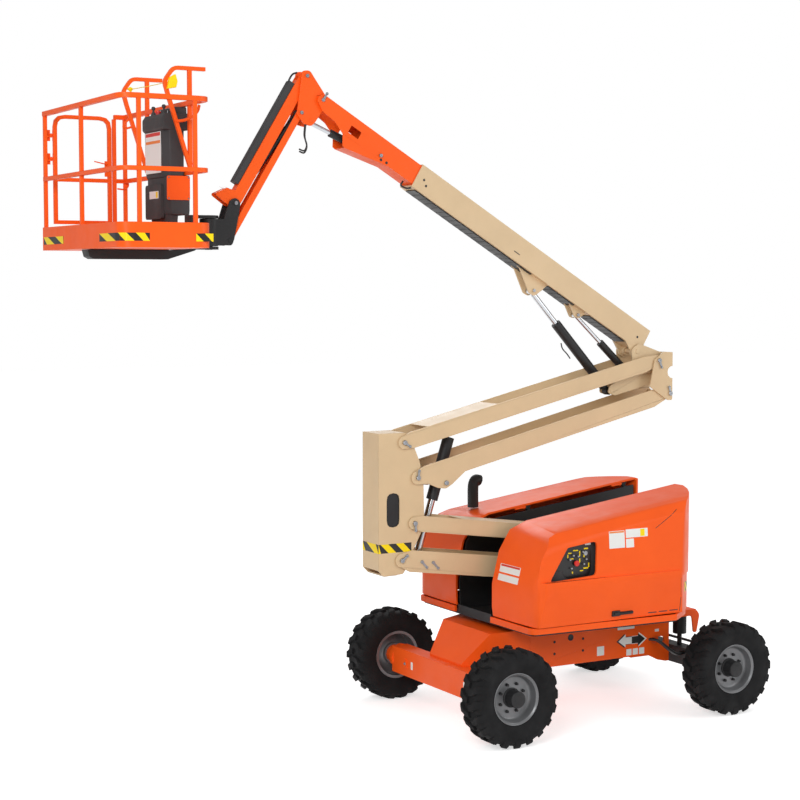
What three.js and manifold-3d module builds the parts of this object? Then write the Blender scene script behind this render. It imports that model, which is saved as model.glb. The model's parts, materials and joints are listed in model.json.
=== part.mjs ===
// Articulating boom lift: a four-wheeled rough-terrain machine with a two-stage
// parallelogram tower, a telescopic main boom, an articulating jib and a work platform.
// Millimetres, +Z up. The platform and the drive axle point along -X, the tail and the
// steering axle along +X. Ground is z = 0. "right" is the -Y side and "left" the +Y side.

import * as THREE from "three";
import { ConvexGeometry } from "three/addons/geometries/ConvexGeometry.js";
import { mergeVertices } from "three/addons/utils/BufferGeometryUtils.js";
import Module from "manifold-3d";

const wasm = await Module();
wasm.setup();

// ---------------------------------------------------------------- driving dimensions

const wheelbase = 2340;
const overallWidth = 2340;
const tyreDiameter = 838;
const tyreWidth = 307;
const rimFlangeDiameter = 445;
const hubCapRadius = 73;
const kingpinOffset = 237;          // kingpin axis inboard of the wheel's centre plane
const steerArmLength = 130;

const frameBottom = 486;
const frameTop = 850;
const frameHalfWidth = 500;
const frameWall = 12;
const frameTailX = 920;
const frameFrontX = -620;

const bearingHeight = 34;
const bearingRadius = 430;

const deckThickness = 44;
const deckHalfWidth = 1000;
const tailRadius = 1190;
const hoodHalfWidth = 1030;
const hoodFrontX = -895;
const hoodWall = 20;
const troughHalfWidth = 300;
const troughWall = 14;
const hoodGap = 6;                  // running gap between a hood and what it closes on
const hoodFrontTop = 1783;
const hoodTopSlope = 0.14;
const creaseHeight = 1285;

const linkPlate = 12;
const riserHalfWidth = 143;
const sideGap = 6;                  // sideways gap between nested moving plates
const pinGap = 0.25;                // least radial gap between a pin and its bore
const seat = 0.3;                   // gap between pieces that touch
const eyeGap = 5;                   // sideways gap at a cylinder's rod eye

const lowerLinkLength = 2400;
const lowerLinkAngle = 7.6;         // degrees, riser end up
const lowerTopDepth = 139;
const lowerBottomDepth = 189;
const lowerPinSpacing = [127, 315]; // from the bottom link's pin to the top link's pin
const lowerPinX = 658;
const lowerPinZ = 1179;

const upperLinkLength = 2794;
const upperLinkAngle = 13.4;        // degrees, boom end up
const upperTopDepth = 145;
const upperBottomDepth = 162;
const upperPinSpacing = [-133, 312];
const riserPinSpacing = [158, 709]; // from the lower bottom pin to the upper bottom pin

const boomAngle = 30.84;            // degrees, platform end up
const boomPivot = [-340, 399];      // from the upper bottom link's boom-end pin
const boomLength = 2820;
const boomDepth = 220;
const boomBottom = 22;              // underside above the pivot axis
const boomHalfWidth = 105;
const boomWall = 8;
const flySideGap = 4;
const flyInnerEnd = 400;
const flyTip = [3899, 181];         // tip pin, along and above the boom axis

const jibLength = 1245;
const jibAngle = -58.5;             // degrees, platform end down
const jibHalfWidth = 47;
const jibPlate = 9;
const jibPinSpacing = [54, 304];    // from the link's pin to the arm's pin
const bracketPlate = 14;
const jibPinOnBracket = [-134, 194];

const rotatorOffset = [-211, -118]; // rotator axis and top, from the jib arm's foot pin
const rotatorHeight = 220;
const rotatorRadius = 75;

const platformLength = 740;         // along X
const platformWidth = 1820;         // along Y
const platformGap = 354;            // rotator axis to the platform's near side
const platformDrop = 383;           // jib foot pin down to the underside of the floor
const toeBoardHeight = 190;
const sheet = 8;
const railRadius = 19;
const topRailHeight = 1120;
const midRailHeight = 587;
const platformCorner = 110;

// ---------------------------------------------------------------- materials

const paint = (name, color, roughness, metalness = 0) => {
  const material = new THREE.MeshStandardMaterial({ color, roughness, metalness });
  material.name = name;
  return material;
};
const orange = paint("orange_paint", 0xff6a2c, 0.35);
const beige = paint("beige_paint", 0xd8bc98, 0.45);
const black = paint("black_paint", 0x2b2a2a, 0.5);
const rubber = paint("tyre_rubber", 0x1f1f20, 0.85);
const rimGrey = paint("rim_grey", 0x8b8c8e, 0.4, 0.3);
const plastic = paint("grey_plastic", 0x3c3a39, 0.6);
const chrome = paint("chromed_rod", 0xc9ccd0, 0.15, 1);

// ---------------------------------------------------------------- solids

const axisX = new THREE.Vector3(1, 0, 0);
const axisY = new THREE.Vector3(0, 1, 0);
const axisZ = new THREE.Vector3(0, 0, 1);
const backY = new THREE.Vector3(0, -1, 0);
const degrees = Math.PI / 180;

function toSolid(geometry) {
  geometry.deleteAttribute("normal");
  geometry.deleteAttribute("uv");
  const merged = mergeVertices(geometry, 1e-3);
  const vertProperties = Float32Array.from(merged.attributes.position.array);
  const triVerts = Uint32Array.from(merged.index.array);
  return new wasm.Manifold(new wasm.Mesh({ numProp: 3, vertProperties, triVerts }));
}

const join = (...solids) => solids.reduce((sum, solid) => sum.add(solid));
const cut = (solid, ...tools) => tools.reduce((rest, tool) => rest.subtract(tool), solid);

function box(x0, x1, y0, y1, z0, z1) {
  const geometry = new THREE.BoxGeometry(x1 - x0, y1 - y0, z1 - z0);
  geometry.translate((x0 + x1) / 2, (y0 + y1) / 2, (z0 + z1) / 2);
  return toSolid(geometry);
}

// A closed outline of [a, b] points. A third number rounds that corner.
function outlineShape(points) {
  const shape = new THREE.Shape();
  const count = points.length;
  points.forEach((point, index) => {
    const corner = new THREE.Vector2(point[0], point[1]);
    const radius = point[2] ?? 0;
    const before = points[(index + count - 1) % count];
    const after = points[(index + 1) % count];
    const back = new THREE.Vector2(before[0], before[1]).sub(corner);
    const ahead = new THREE.Vector2(after[0], after[1]).sub(corner);
    const half = Math.abs(back.angleTo(ahead)) / 2;
    const reach = Math.min(radius / Math.tan(half), back.length() / 2.1, ahead.length() / 2.1);
    const start = back.clone().setLength(reach).add(corner);
    const end = ahead.clone().setLength(reach).add(corner);
    if (index === 0) {
      shape.moveTo(start.x, start.y);
    } else {
      shape.lineTo(start.x, start.y);
    }
    if (radius > 0) {
      shape.quadraticCurveTo(corner.x, corner.y, end.x, end.y);
    }
  });
  shape.closePath();
  return shape;
}

function extrudeShape(shape, depth, right, up, out) {
  const geometry = new THREE.ExtrudeGeometry(shape, { depth, bevelEnabled: false, curveSegments: 3 });
  geometry.applyMatrix4(new THREE.Matrix4().makeBasis(right, up, out));
  return geometry;
}

// An X-Z outline from y0 to y1.
function sidePlate(points, y0, y1) {
  const geometry = extrudeShape(outlineShape(points), y1 - y0, axisX, axisZ, backY);
  return toSolid(geometry.translate(0, y1, 0));
}

// The same outline at +Y and -Y, between two distances from the centre plane.
function platePair(points, inner, outer) {
  return join(sidePlate(points, inner, outer), sidePlate(points, -outer, -inner));
}

// An X-Y outline from z0 to z1.
function planPlate(points, z0, z1) {
  const geometry = extrudeShape(outlineShape(points), z1 - z0, axisX, axisY, axisZ);
  return toSolid(geometry.translate(0, 0, z0));
}

// A Y-Z outline from x0 to x1.
function crossPlate(points, x0, x1) {
  const geometry = extrudeShape(outlineShape(points), x1 - x0, axisY, axisZ, axisX);
  return toSolid(geometry.translate(x0, 0, 0));
}

// A cylinder between two points.
function bar(from, to, radius, sides = 10) {
  const start = new THREE.Vector3(...from);
  const span = new THREE.Vector3(...to).sub(start);
  const geometry = new THREE.CylinderGeometry(radius, radius, span.length(), sides);
  const turn = new THREE.Quaternion().setFromUnitVectors(axisY, span.clone().normalize());
  geometry.applyQuaternion(turn);
  geometry.translate(...start.addScaledVector(span, 0.5).toArray());
  return toSolid(geometry);
}

const pin = (x, z, radius, reach, sides = 12) => bar([x, -reach, z], [x, reach, z], radius, sides);

// A bore's flats stay clear of its pin however the two are turned.
const boreRadius = (radius, sides = 12) => (radius + pinGap) / Math.cos(Math.PI / sides);
const bore = (x, z, radius, reach, sides = 12) => pin(x, z, boreRadius(radius, sides), reach, sides);

// A boss around a pin, from one distance to another on both sides.
function bossPair(x, z, radius, inner, outer) {
  return join(
    bar([x, inner, z], [x, outer, z], radius, 12),
    bar([x, -outer, z], [x, -inner, z], radius, 12),
  );
}

// Stub bosses on both sides of a cylinder rod's eye. The eye hangs free between them.
const eyeStubs = (x, z, radius, eyeWidth, outer) => bossPair(x, z, radius, eyeWidth + eyeGap, outer);

function hull(points) {
  return toSolid(new ConvexGeometry(points.map((point) => new THREE.Vector3(...point))));
}

// A ring or a turned piece about the Y axis, from [radius, y] points.
function turned(profile, sides) {
  const points = profile.map(([radius, y]) => new THREE.Vector2(radius, y));
  return toSolid(new THREE.LatheGeometry(points, sides));
}

// A tube of eight sides along a smooth curve.
function hose(points, radius, steps) {
  const curve = new THREE.CatmullRomCurve3(points.map((point) => new THREE.Vector3(...point)));
  const section = new THREE.Shape();
  const sides = 8;
  for (let side = 0; side < sides; side += 1) {
    const angle = (side / sides) * 2 * Math.PI;
    const corner = [radius * Math.cos(angle), radius * Math.sin(angle)];
    if (side === 0) {
      section.moveTo(...corner);
    } else {
      section.lineTo(...corner);
    }
  }
  section.closePath();
  return toSolid(new THREE.ExtrudeGeometry(section, { steps, extrudePath: curve }));
}

// ---------------------------------------------------------------- scene graph

const machine = new THREE.Group();

function place(parent, name, x, y, z, tilt = 0) {
  const group = new THREE.Group();
  group.name = name;
  group.position.set(x, y, z);
  group.rotation.y = tilt * degrees;
  parent.add(group);
  return group;
}

function addNode(group, name, solid, material) {
  const { vertProperties, triVerts } = solid.getMesh();
  const geometry = new THREE.BufferGeometry();
  geometry.setAttribute("position", new THREE.BufferAttribute(vertProperties, 3));
  geometry.setIndex(new THREE.BufferAttribute(triVerts, 1));
  geometry.computeVertexNormals();
  const mesh = new THREE.Mesh(geometry, material);
  mesh.name = name;
  group.add(mesh);
}

// ---------------------------------------------------------------- chassis

const axleX = wheelbase / 2;
const wheelRadius = tyreDiameter / 2;
const wheelY = (overallWidth - tyreWidth) / 2;
const tyreInnerY = wheelY - tyreWidth / 2;
const hubFaceY = wheelY - 50;
const kingpinY = wheelY - kingpinOffset;
const driveBeam = { x0: -axleX - 100, x1: -axleX + 60, z0: wheelRadius - 129, z1: wheelRadius + 111 };
const steerBeam = { half: 70, z0: wheelRadius - 79, z1: wheelRadius + 81, reach: kingpinY - 90 };
const noseHalfWidth = 400;
const toeHalfWidth = 270;
const noseX = frameFrontX - 350;
const shelfHalfWidth = 430;
const lockoutY = 340;
const lockoutRadius = 64;
const pivotHalfWidth = 110;

function chassisFrame() {
  const outer = box(frameFrontX, frameTailX, -frameHalfWidth, frameHalfWidth, frameBottom, frameTop);
  const inner = box(
    frameFrontX + frameWall, frameTailX + 1, -frameHalfWidth + frameWall, frameHalfWidth - frameWall,
    frameBottom + frameWall, frameTop - frameWall,
  );
  const section = (x, half, z0, z1) => [[x, -half, z0], [x, half, z0], [x, -half, z1], [x, half, z1]];
  const noseRear = section(frameFrontX + 2, frameHalfWidth, frameBottom, frameTop);
  const noseFront = section(noseX, noseHalfWidth, frameBottom - 60, frameTop - 28);
  const toe = section(driveBeam.x1 - 80, toeHalfWidth, driveBeam.z0 + 10, driveBeam.z1 + 22);
  const nose = join(hull([...noseRear, ...noseFront]), hull([...noseFront, ...toe]));
  const beamSpace = box(
    driveBeam.x0 - 50, driveBeam.x1 + seat, -frameHalfWidth, frameHalfWidth,
    driveBeam.z0 - 50, driveBeam.z1 + seat,
  );
  const dropLug = [[frameTailX - 253, frameBottom + 20], [frameTailX - 253, frameBottom],
    [frameTailX - 130, frameBottom - 60], [frameTailX - 40, frameBottom - 81],
    [frameTailX, frameBottom - 81], [frameTailX, frameBottom + 20]];
  const lugs = platePair(dropLug, frameHalfWidth - frameWall, frameHalfWidth);
  const pivotBlock = box(
    frameTailX - 140, axleX - steerBeam.half - seat, -pivotHalfWidth, pivotHalfWidth,
    steerBeam.z0 + 30, steerBeam.z1 + 60,
  );
  const shelf = box(
    frameTailX - 30, axleX + 120, -shelfHalfWidth, shelfHalfWidth, frameTop - 50, frameTop - frameWall + 2,
  );
  const hook = [[frameTailX - 12, frameTop - 14], [frameTailX - 12, frameTop - 120],
    [axleX - 90, frameTop - 70, 30], [axleX + 70, frameTop - 70, 30], [axleX + 90, frameTop - 230, 30],
    [axleX + 130, frameTop - 230, 20], [axleX + 165, frameTop - 60, 60], [axleX + 120, frameTop - 14, 20]];
  const hooks = platePair(hook, shelfHalfWidth - 12, shelfHalfWidth);
  const hosePort = [[frameTailX - 200, 640, 27], [frameTailX - 200, 585, 27],
    [frameTailX - 60, 585, 27], [frameTailX - 60, 640, 27]];
  const port = sidePlate(hosePort, -frameHalfWidth - 1, -frameHalfWidth + frameWall + 1);
  return cut(join(cut(outer, inner), nose, lugs, pivotBlock, shelf, hooks), beamSpace, port);
}

function driveAxle() {
  const beam = box(
    driveBeam.x0, driveBeam.x1, -tyreInnerY + 40, tyreInnerY - 40, driveBeam.z0, driveBeam.z1,
  );
  const hubs = bossPair(-axleX, wheelRadius, 85, tyreInnerY - 60, hubFaceY - seat);
  const flanges = bossPair(-axleX, wheelRadius, 118, tyreInnerY - 60, tyreInnerY - 8);
  return join(beam, hubs, flanges);
}

function steerAxle() {
  const { half, z0, z1, reach } = steerBeam;
  const beam = box(axleX - half, axleX + half, -reach, reach, z0, z1);
  const yokes = [-1, 1].map((side) => {
    const near = side * (reach - 20);
    const far = side * (kingpinY + 45);
    const [y0, y1] = [Math.min(near, far), Math.max(near, far)];
    const yoke = box(axleX - half, axleX + half, y0, y1, z0 - 40, z1 + 40);
    const gapFar = side * (kingpinY + 60);
    const gapNear = side * (kingpinY - 62);
    const slot = box(
      axleX - half - 1, axleX + half + 1, Math.min(gapNear, gapFar), Math.max(gapNear, gapFar),
      z0 - 12, z1 + 12,
    );
    return cut(yoke, slot);
  });
  const kingpins = [-1, 1].map((side) => bar(
    [axleX, side * kingpinY, z0 - 52], [axleX, side * kingpinY, z1 + 52], 26, 16,
  ));
  const armSpaces = [-1, 1].map((side) => {
    const near = side * (kingpinY - 100);
    const far = side * (kingpinY - 60);
    return box(axleX + 30, axleX + half + 1, Math.min(near, far), Math.max(near, far), z1 - 26, z1 + 12);
  });
  return join(cut(join(beam, ...yokes), ...armSpaces), ...kingpins);
}

// Steering knuckle around the kingpin, seen from the wheel on the +Y side.
function steerKnuckle(side) {
  const height = (steerBeam.z1 - steerBeam.z0) / 2 + 6;
  const barrel = bar([0, 0, -height], [0, 0, height], 46, 12);
  const reach = side * (hubFaceY - kingpinY - seat);
  const stub = bar([0, side * 30, 0], [0, reach, 0], 62, 12);
  const armSpace = 18;
  const arm = box(0, steerArmLength + 25, -22, 22, height - armSpace, height);
  const ball = bar([steerArmLength, 0, height - armSpace], [steerArmLength, 0, height + 30], 12, 12);
  const hole = bar([0, 0, -height - 1], [0, 0, height + 1], boreRadius(26, 16), 16);
  return cut(join(barrel, stub, arm, ball), hole);
}

function tieRod() {
  const z = (steerBeam.z1 - steerBeam.z0) / 2 + 20;
  const tube = bar([0, -kingpinY, z], [0, kingpinY, z], 13, 12);
  const ends = [-1, 1].map((side) => bar([0, side * kingpinY, z - 13], [0, side * kingpinY, z + 13], 24,
    10));
  const bores = [-1, 1].map((side) => bar(
    [0, side * kingpinY, z - 20], [0, side * kingpinY, z + 20], boreRadius(12), 12,
  ));
  return cut(join(tube, ...ends), ...bores);
}

const tyreSides = 24;

function tyre() {
  const half = tyreWidth / 2;
  const bead = rimFlangeDiameter / 2 - 16;
  const beadY = half - 49.5;
  const side = [[bead + 24, beadY + 2], [bead + 95, half - 4], [bead + 150, half], [wheelRadius - 22,
    half - 14]];
  const fall = [[bead, beadY], ...side, [wheelRadius, half - 42]];
  const rise = fall.map(([radius, y]) => [radius, -y]);
  return turned([...rise, ...fall.reverse(), rise[0]], tyreSides);
}

function rim() {
  const flange = rimFlangeDiameter / 2;
  const seatRadius = (flange - 16) * Math.cos(Math.PI / tyreSides) - seat;
  const well = seatRadius - 8;
  const beadY = tyreWidth / 2 - 49.5;
  const flangeY = beadY + 2.5;
  const lip = flangeY + 9;
  const profile = [[0, -50], [100, -50], [100, 8], [well, 52], [well, -lip], [flange, -lip],
    [flange, -flangeY], [seatRadius, -flangeY], [seatRadius, flangeY], [flange, flangeY],
    [flange, lip], [well, lip], [well - 6, 74], [hubCapRadius, 26],
    [hubCapRadius, tyreWidth / 2 - 4], [0, tyreWidth / 2 - 4]];
  return turned(profile, 16);
}

const wheels = [
  { name: "drive_right", x: -axleX, side: -1 },
  { name: "drive_left", x: -axleX, side: 1 },
  { name: "steer_right", x: axleX, side: -1 },
  { name: "steer_left", x: axleX, side: 1 },
];

addNode(machine, "chassis_frame", chassisFrame(), orange);
addNode(machine, "drive_axle", driveAxle(), orange);
addNode(machine, "steer_axle", steerAxle(), black);
wheels.forEach(({ name, x, side }) => {
  if (name.startsWith("steer")) {
    const knuckleGroup = place(machine, `pivot_${name}`, x, side * kingpinY, wheelRadius);
    addNode(knuckleGroup, `knuckle_${name}`, steerKnuckle(side), black);
  }
  const hub = place(machine, `hub_${name}`, x, side * wheelY, wheelRadius);
  hub.rotation.z = side > 0 ? 0 : Math.PI;
  addNode(hub, `rim_${name}`, rim(), rimGrey);
  addNode(hub, `tyre_${name}`, tyre(), rubber);
});
addNode(place(machine, "tie_rod_group", axleX + steerArmLength, 0, wheelRadius), "tie_rod", tieRod(), black);
[-1, 1].forEach((side) => {
  const top = frameTop - 50 - seat;
  const y = side * lockoutY;
  const can = bar([axleX, y, top - 190], [axleX, y, top], lockoutRadius, 14);
  const rod = bar([axleX, y, steerBeam.z1 + seat], [axleX, y, top - 180], 22, 12);
  addNode(machine, side < 0 ? "lockout_cylinder_right" : "lockout_cylinder_left", join(can, rod), black);
});

const deckBottom = frameTop + bearingHeight + seat;
const bearing = cut(
  bar([0, 0, frameTop + seat], [0, 0, frameTop + bearingHeight], bearingRadius, 28),
  bar([0, 0, frameTop - 1], [0, 0, deckBottom + 1], bearingRadius - 90, 24),
);
addNode(machine, "slew_bearing", bearing, black);

// ---------------------------------------------------------------- turntable

const turntable = place(machine, "turntable", 0, 0, 0);
const deckTop = deckBottom + deckThickness;
const hoodBottom = deckTop + 30;
const linkHalf = riserHalfWidth + sideGap + linkPlate;
const standInner = linkHalf + sideGap;
const standOuter = standInner + linkPlate + 1;
const topPinX = lowerPinX + lowerPinSpacing[0];
const topPinZ = lowerPinZ + lowerPinSpacing[1];
const linkPinRadius = 20;
const linkPinReach = linkHalf + 8;
const standPinReach = standOuter + 8;
const counterweightX = 700;

// Points of the rounded tail between two distances from the centre plane.
function tailArc(radius, fromY, toY, steps) {
  const from = Math.asin(fromY / radius);
  const to = Math.asin(toY / radius);
  return Array.from({ length: steps + 1 }, (_, step) => {
    const angle = from + ((to - from) * step) / steps;
    return [radius * Math.cos(angle), radius * Math.sin(angle)];
  });
}

const hoodTop = (x) => hoodFrontTop + hoodTopSlope * (x + 542);
const hoodHinge = { y: troughHalfWidth + hoodGap + 12, x0: -250, x1: 850 };
const hingeLength = 120;
const hingeZ = (x) => hoodTop(x) - hoodWall - 13;

function turntableDeck() {
  const arc = tailArc(tailRadius - 30, deckHalfWidth, -deckHalfWidth, 8);
  const plan = [[hoodFrontX + 10, -deckHalfWidth + 60, 80], ...arc.reverse(), [hoodFrontX + 10,
    deckHalfWidth - 60, 80]];
  const deck = planPlate(plan, deckBottom, deckTop);
  const frontSill = box(
    hoodFrontX + 10, hoodFrontX + 32, -troughHalfWidth + 20, troughHalfWidth - 20, deckTop - 2, deckTop + 40,
  );
  return join(deck, frontSill);
}

// The fixed wall between a hood and the middle trough, with the hood's hinge barrels.
function innerWall(side) {
  const top = (x) => hoodTop(x) - 62;
  const outline = [[hoodFrontX + 40, deckTop + seat], [hoodFrontX + 30, 1180], [-790, 1540], [-690, 1670],
    [-530, top(-530)], [1090, top(1090)], [1090, creaseHeight + 20], [counterweightX - 20,
      creaseHeight + 20],
    [counterweightX - 20, deckTop + seat]];
  const wall = sidePlate(outline, troughHalfWidth - troughWall, troughHalfWidth);
  const barrels = [hoodHinge.x0 + hingeLength + seat, hoodHinge.x1 + hingeLength + seat].map((x) => {
    const end = x + 50;
    const barrelBody = bar([x, hoodHinge.y, hingeZ(x)], [end, hoodHinge.y, hingeZ(end)], 9, 12);
    const z = hingeZ(x);
    const strap = box(x + 4, end - 4, troughHalfWidth - 10, hoodHinge.y + 5, z - 34, z - 18);
    const web = box(x + 4, end - 4, hoodHinge.y - 4, hoodHinge.y + 5, z - 20, z);
    const tab = box(x + 4, end - 4, troughHalfWidth - troughWall, troughHalfWidth, z - 60, z - 18);
    return join(barrelBody, strap, web, tab);
  });
  const whole = join(wall, ...barrels);
  return side > 0 ? whole : whole.mirror([0, 1, 0]);
}

function linkStand() {
  const stand = [[lowerPinX - 160, deckTop + seat], [topPinX + 230, deckTop + seat], [topPinX + 110,
    topPinZ + 20, 40],
    [topPinX + 20, topPinZ + 85, 60], [topPinX - 75, topPinZ + 40, 40], [lowerPinX - 75, lowerPinZ - 20,
      40]];
  const standPlates = platePair(stand, standInner, standOuter);
  const rear = [[topPinX + 216, deckTop + seat], [topPinX + 230, deckTop + seat], [topPinX + 120,
    topPinZ - 40],
    [topPinX + 106, topPinZ - 40]];
  const rearPlate = sidePlate(rear, -standInner - 2, standInner + 2);
  const pins = join(
    pin(lowerPinX, lowerPinZ, linkPinRadius, standPinReach),
    pin(topPinX, topPinZ, linkPinRadius, standPinReach),
  );
  return join(standPlates, rearPlate, pins);
}

const skirtPlan = (offset) => {
  const half = deckHalfWidth + offset;
  const arc = tailArc(tailRadius - 30 + offset, half, -half, 8).reverse();
  return [[hoodFrontX + 10 - offset, -half + 60, 80], ...arc, [hoodFrontX + 10 - offset, half - 60, 80]];
};

function turntableSkirt() {
  const outer = planPlate(skirtPlan(24), deckBottom + 16, hoodBottom - hoodGap);
  const inner = planPlate(skirtPlan(seat), deckBottom, hoodBottom);
  const gate = box(hoodFrontX - 60, hoodFrontX + 60, -troughHalfWidth, troughHalfWidth, deckBottom,
    hoodBottom);
  return cut(outer, inner, gate);
}

function counterweight() {
  const arc = tailArc(tailRadius, 960, -960, 10).reverse();
  const plan = [[counterweightX, -960], ...arc, [counterweightX, 960]];
  const body = planPlate(plan, hoodBottom - hoodGap + seat, creaseHeight - hoodGap);
  const footArc = tailArc(tailRadius - 45, 700, -700, 4).reverse();
  const foot = planPlate([[counterweightX, -700], ...footArc, [counterweightX, 700]], deckTop + seat,
    hoodBottom);
  const standSpace = box(
    counterweightX - 1, topPinX + 242, -standOuter - 12, standOuter + 12, deckTop, creaseHeight + 1,
  );
  return cut(join(body, foot), standSpace);
}

// The outside of a hood on the +Y side, drawn in by an inset all round.
function hoodBody(inset) {
  const inner = troughHalfWidth + hoodGap;
  const top = (x) => hoodTop(x) - inset;
  const front = hoodFrontX + inset;
  const side = [[front + 12, hoodBottom - inset * 2], [front - 18, 1180], [front + 72, 1540], [front + 184,
    1716 - inset],
    [-542, top(-542)], [1120, top(1120)], [1215 - inset, 1985 - inset], [1225 - inset, creaseHeight + inset],
    [counterweightX - 8 - inset, creaseHeight + inset], [counterweightX - 8 - inset,
      hoodBottom - inset * 2]];
  const half = hoodHalfWidth - inset;
  const arc = tailArc(tailRadius + 10 - inset, half, inner - 2 * inset, 6);
  const plan = [[front, inner - 2 * inset], ...arc.reverse(), [front + 25, half, 130]];
  const lower = [[inner - 2 * inset, hoodBottom - inset * 2], [half - 45, hoodBottom - inset * 2],
    [half, creaseHeight], [half - 10, creaseHeight + 60], [inner - 2 * inset, creaseHeight + 60]];
  const upper = [[inner - 2 * inset, creaseHeight - 260], [half - 2, creaseHeight - 260],
    [half - 62, 1760 - inset], [half - 130, 1840 - inset, 60], [half - 300, 1872 - inset],
    [inner - 2 * inset, 1880 - inset]];
  const shear = new THREE.Matrix4().set(1, 0, 0, 0, 0, 1, 0, 0, hoodTopSlope, 0, 1, 0, 0, 0, 0, 1);
  const upperGeometry = extrudeShape(outlineShape(upper), 2400, axisY, axisZ, axisX);
  upperGeometry.translate(-1000, 0, 0).applyMatrix4(shear);
  const sections = join(
    crossPlate(lower, -1000, 1400),
    toSolid(upperGeometry).intersect(box(-1100, 1500, 0, 1200, creaseHeight + 20, 2400)),
  );
  const sideBlock = sidePlate(side, inner - 2 * inset, half + 1);
  return sections.intersect(sideBlock).intersect(planPlate(plan, hoodBottom - inset * 2 - 1, 2300));
}


function hood(side) {
  const shell = cut(hoodBody(0), hoodBody(hoodWall));
  const barrels = [hoodHinge.x0, hoodHinge.x1].map((x) => {
    const from = [x, hoodHinge.y, hingeZ(x)];
    const to = [x + hingeLength, hoodHinge.y, hingeZ(x + hingeLength)];
    const strap = box(x + 5, x + hingeLength - 5, hoodHinge.y - 3, hoodHinge.y + 3, hingeZ(x),
      hingeZ(x) + 30);
    return join(bar(from, to, 9, 12), strap);
  });
  const whole = join(shell, ...barrels);
  return side > 0 ? whole : whole.mirror([0, 1, 0]);
}

const panelOutline = [[-751, 1344, 20], [-551, 1626, 30], [-243, 1665, 40], [-269, 1372, 40]];

function groundControlPanel() {
  const face = [[-800, 1310, 20], [-575, 1668, 30], [-205, 1700, 40], [-225, 1325, 40]];
  const pedestal = box(-640, -300, -920, -888, deckTop + seat, 1400);
  return join(sidePlate(face, -925, -882), pedestal);
}

function exhaustPipe() {
  const base = hoodTop(-530) + seat;
  const points = [[-530, 600, base - 8], [-530, 600, base + 120], [-528, 600, base + 210], [-512, 600,
    base + 262],
    [-478, 600, base + 282], [-440, 600, base + 268]];
  const pipe = hose(points, 52, 9);
  const hoodSurface = [[-800, 1500], [-300, 1500], [-300, hoodTop(-300) + seat], [-800,
    hoodTop(-800) + seat]];
  return cut(pipe, sidePlate(hoodSurface, 400, 800));
}

addNode(turntable, "turntable_deck", turntableDeck(), black);
addNode(turntable, "inner_wall_right", innerWall(-1), black);
addNode(turntable, "inner_wall_left", innerWall(1), black);
addNode(turntable, "link_stand", linkStand(), black);
addNode(turntable, "turntable_skirt", turntableSkirt(), orange);
addNode(turntable, "counterweight", counterweight(), orange);
addNode(turntable, "engine_block", box(-500, 450, 420, 850, deckTop + seat, 1500), black);
addNode(turntable, "ground_control_panel", groundControlPanel(), plastic);
const panelOpening = sidePlate(panelOutline, -1200, -930);
addNode(turntable, "right_hood", cut(hood(-1), panelOpening), orange);
addNode(turntable, "left_hood", hood(1), orange);
addNode(turntable, "exhaust_pipe", exhaustPipe(), black);

// ---------------------------------------------------------------- tower links

const plateInner = linkHalf - linkPlate;

// A twin-plate link along -X from a pin at the origin. Bosses at both ends, a web between.
function link({ length, depth, nearBoss, farBoss, nearTaper, farTaper, web }) {
  const half = depth / 2;
  const outline = [[0, nearBoss * 0.98], [-nearTaper, half], [-length + farTaper, half], [-length,
    farBoss * 0.98],
    [-length, -farBoss * 0.98], [-length + farTaper, -half], [-nearTaper, -half], [0, -nearBoss * 0.98]];
  const plates = join(
    platePair(outline, plateInner, linkHalf),
    bossPair(0, 0, nearBoss, plateInner, linkHalf),
    bossPair(-length, 0, farBoss, plateInner, linkHalf),
  );
  const pieces = [plates];
  web.forEach(({ from, to, edge }) => {
    const z = edge * (half - 8);
    pieces.push(box(-to, -from, -plateInner - 1, plateInner + 1, Math.min(z, edge * half), Math.max(z,
      edge * half)));
  });
  const bores = [0, -length].map((x) => bore(x, 0, linkPinRadius, linkHalf + 1));
  return cut(join(...pieces), ...bores);
}

const lowerBottomPivot = place(turntable, "lower_bottom_pivot", lowerPinX, 0, lowerPinZ, lowerLinkAngle);
const lowerTopPivot = place(turntable, "lower_top_pivot", topPinX, 0, topPinZ, lowerLinkAngle);
const towerEye = { along: 231, rise: 12, width: 45 };

const lowerBottomLink = link({
  length: lowerLinkLength, depth: lowerBottomDepth, nearBoss: 60, farBoss: 62, nearTaper: 160, farTaper: 90,
  web: [{ from: 260, to: lowerLinkLength - 330, edge: -1 }],
});
const towerStubs = eyeStubs(-lowerLinkLength + towerEye.along, towerEye.rise, 24, towerEye.width,
  plateInner + 1);
addNode(lowerBottomPivot, "lower_bottom_link", join(lowerBottomLink, towerStubs), beige);
const lowerTopLink = link({
  length: lowerLinkLength, depth: lowerTopDepth, nearBoss: 52, farBoss: 58, nearTaper: 140, farTaper: 80,
  web: [{ from: 260, to: lowerLinkLength - 520, edge: 1 }],
});
addNode(lowerTopPivot, "lower_top_link", lowerTopLink, beige);

// ---------------------------------------------------------------- riser

const lowerRun = [-lowerLinkLength * Math.cos(lowerLinkAngle * degrees),
  lowerLinkLength * Math.sin(lowerLinkAngle * degrees)];
const riserFootX = lowerPinX + lowerRun[0];
const riserFootZ = lowerPinZ + lowerRun[1];
const riserPins = [
  [0, 0],
  lowerPinSpacing,
  riserPinSpacing,
  [riserPinSpacing[0] + upperPinSpacing[0], riserPinSpacing[1] + upperPinSpacing[1]],
];
const riserHeight = riserPins[3][1] + 85;
const riserFrontX = -222;

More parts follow.
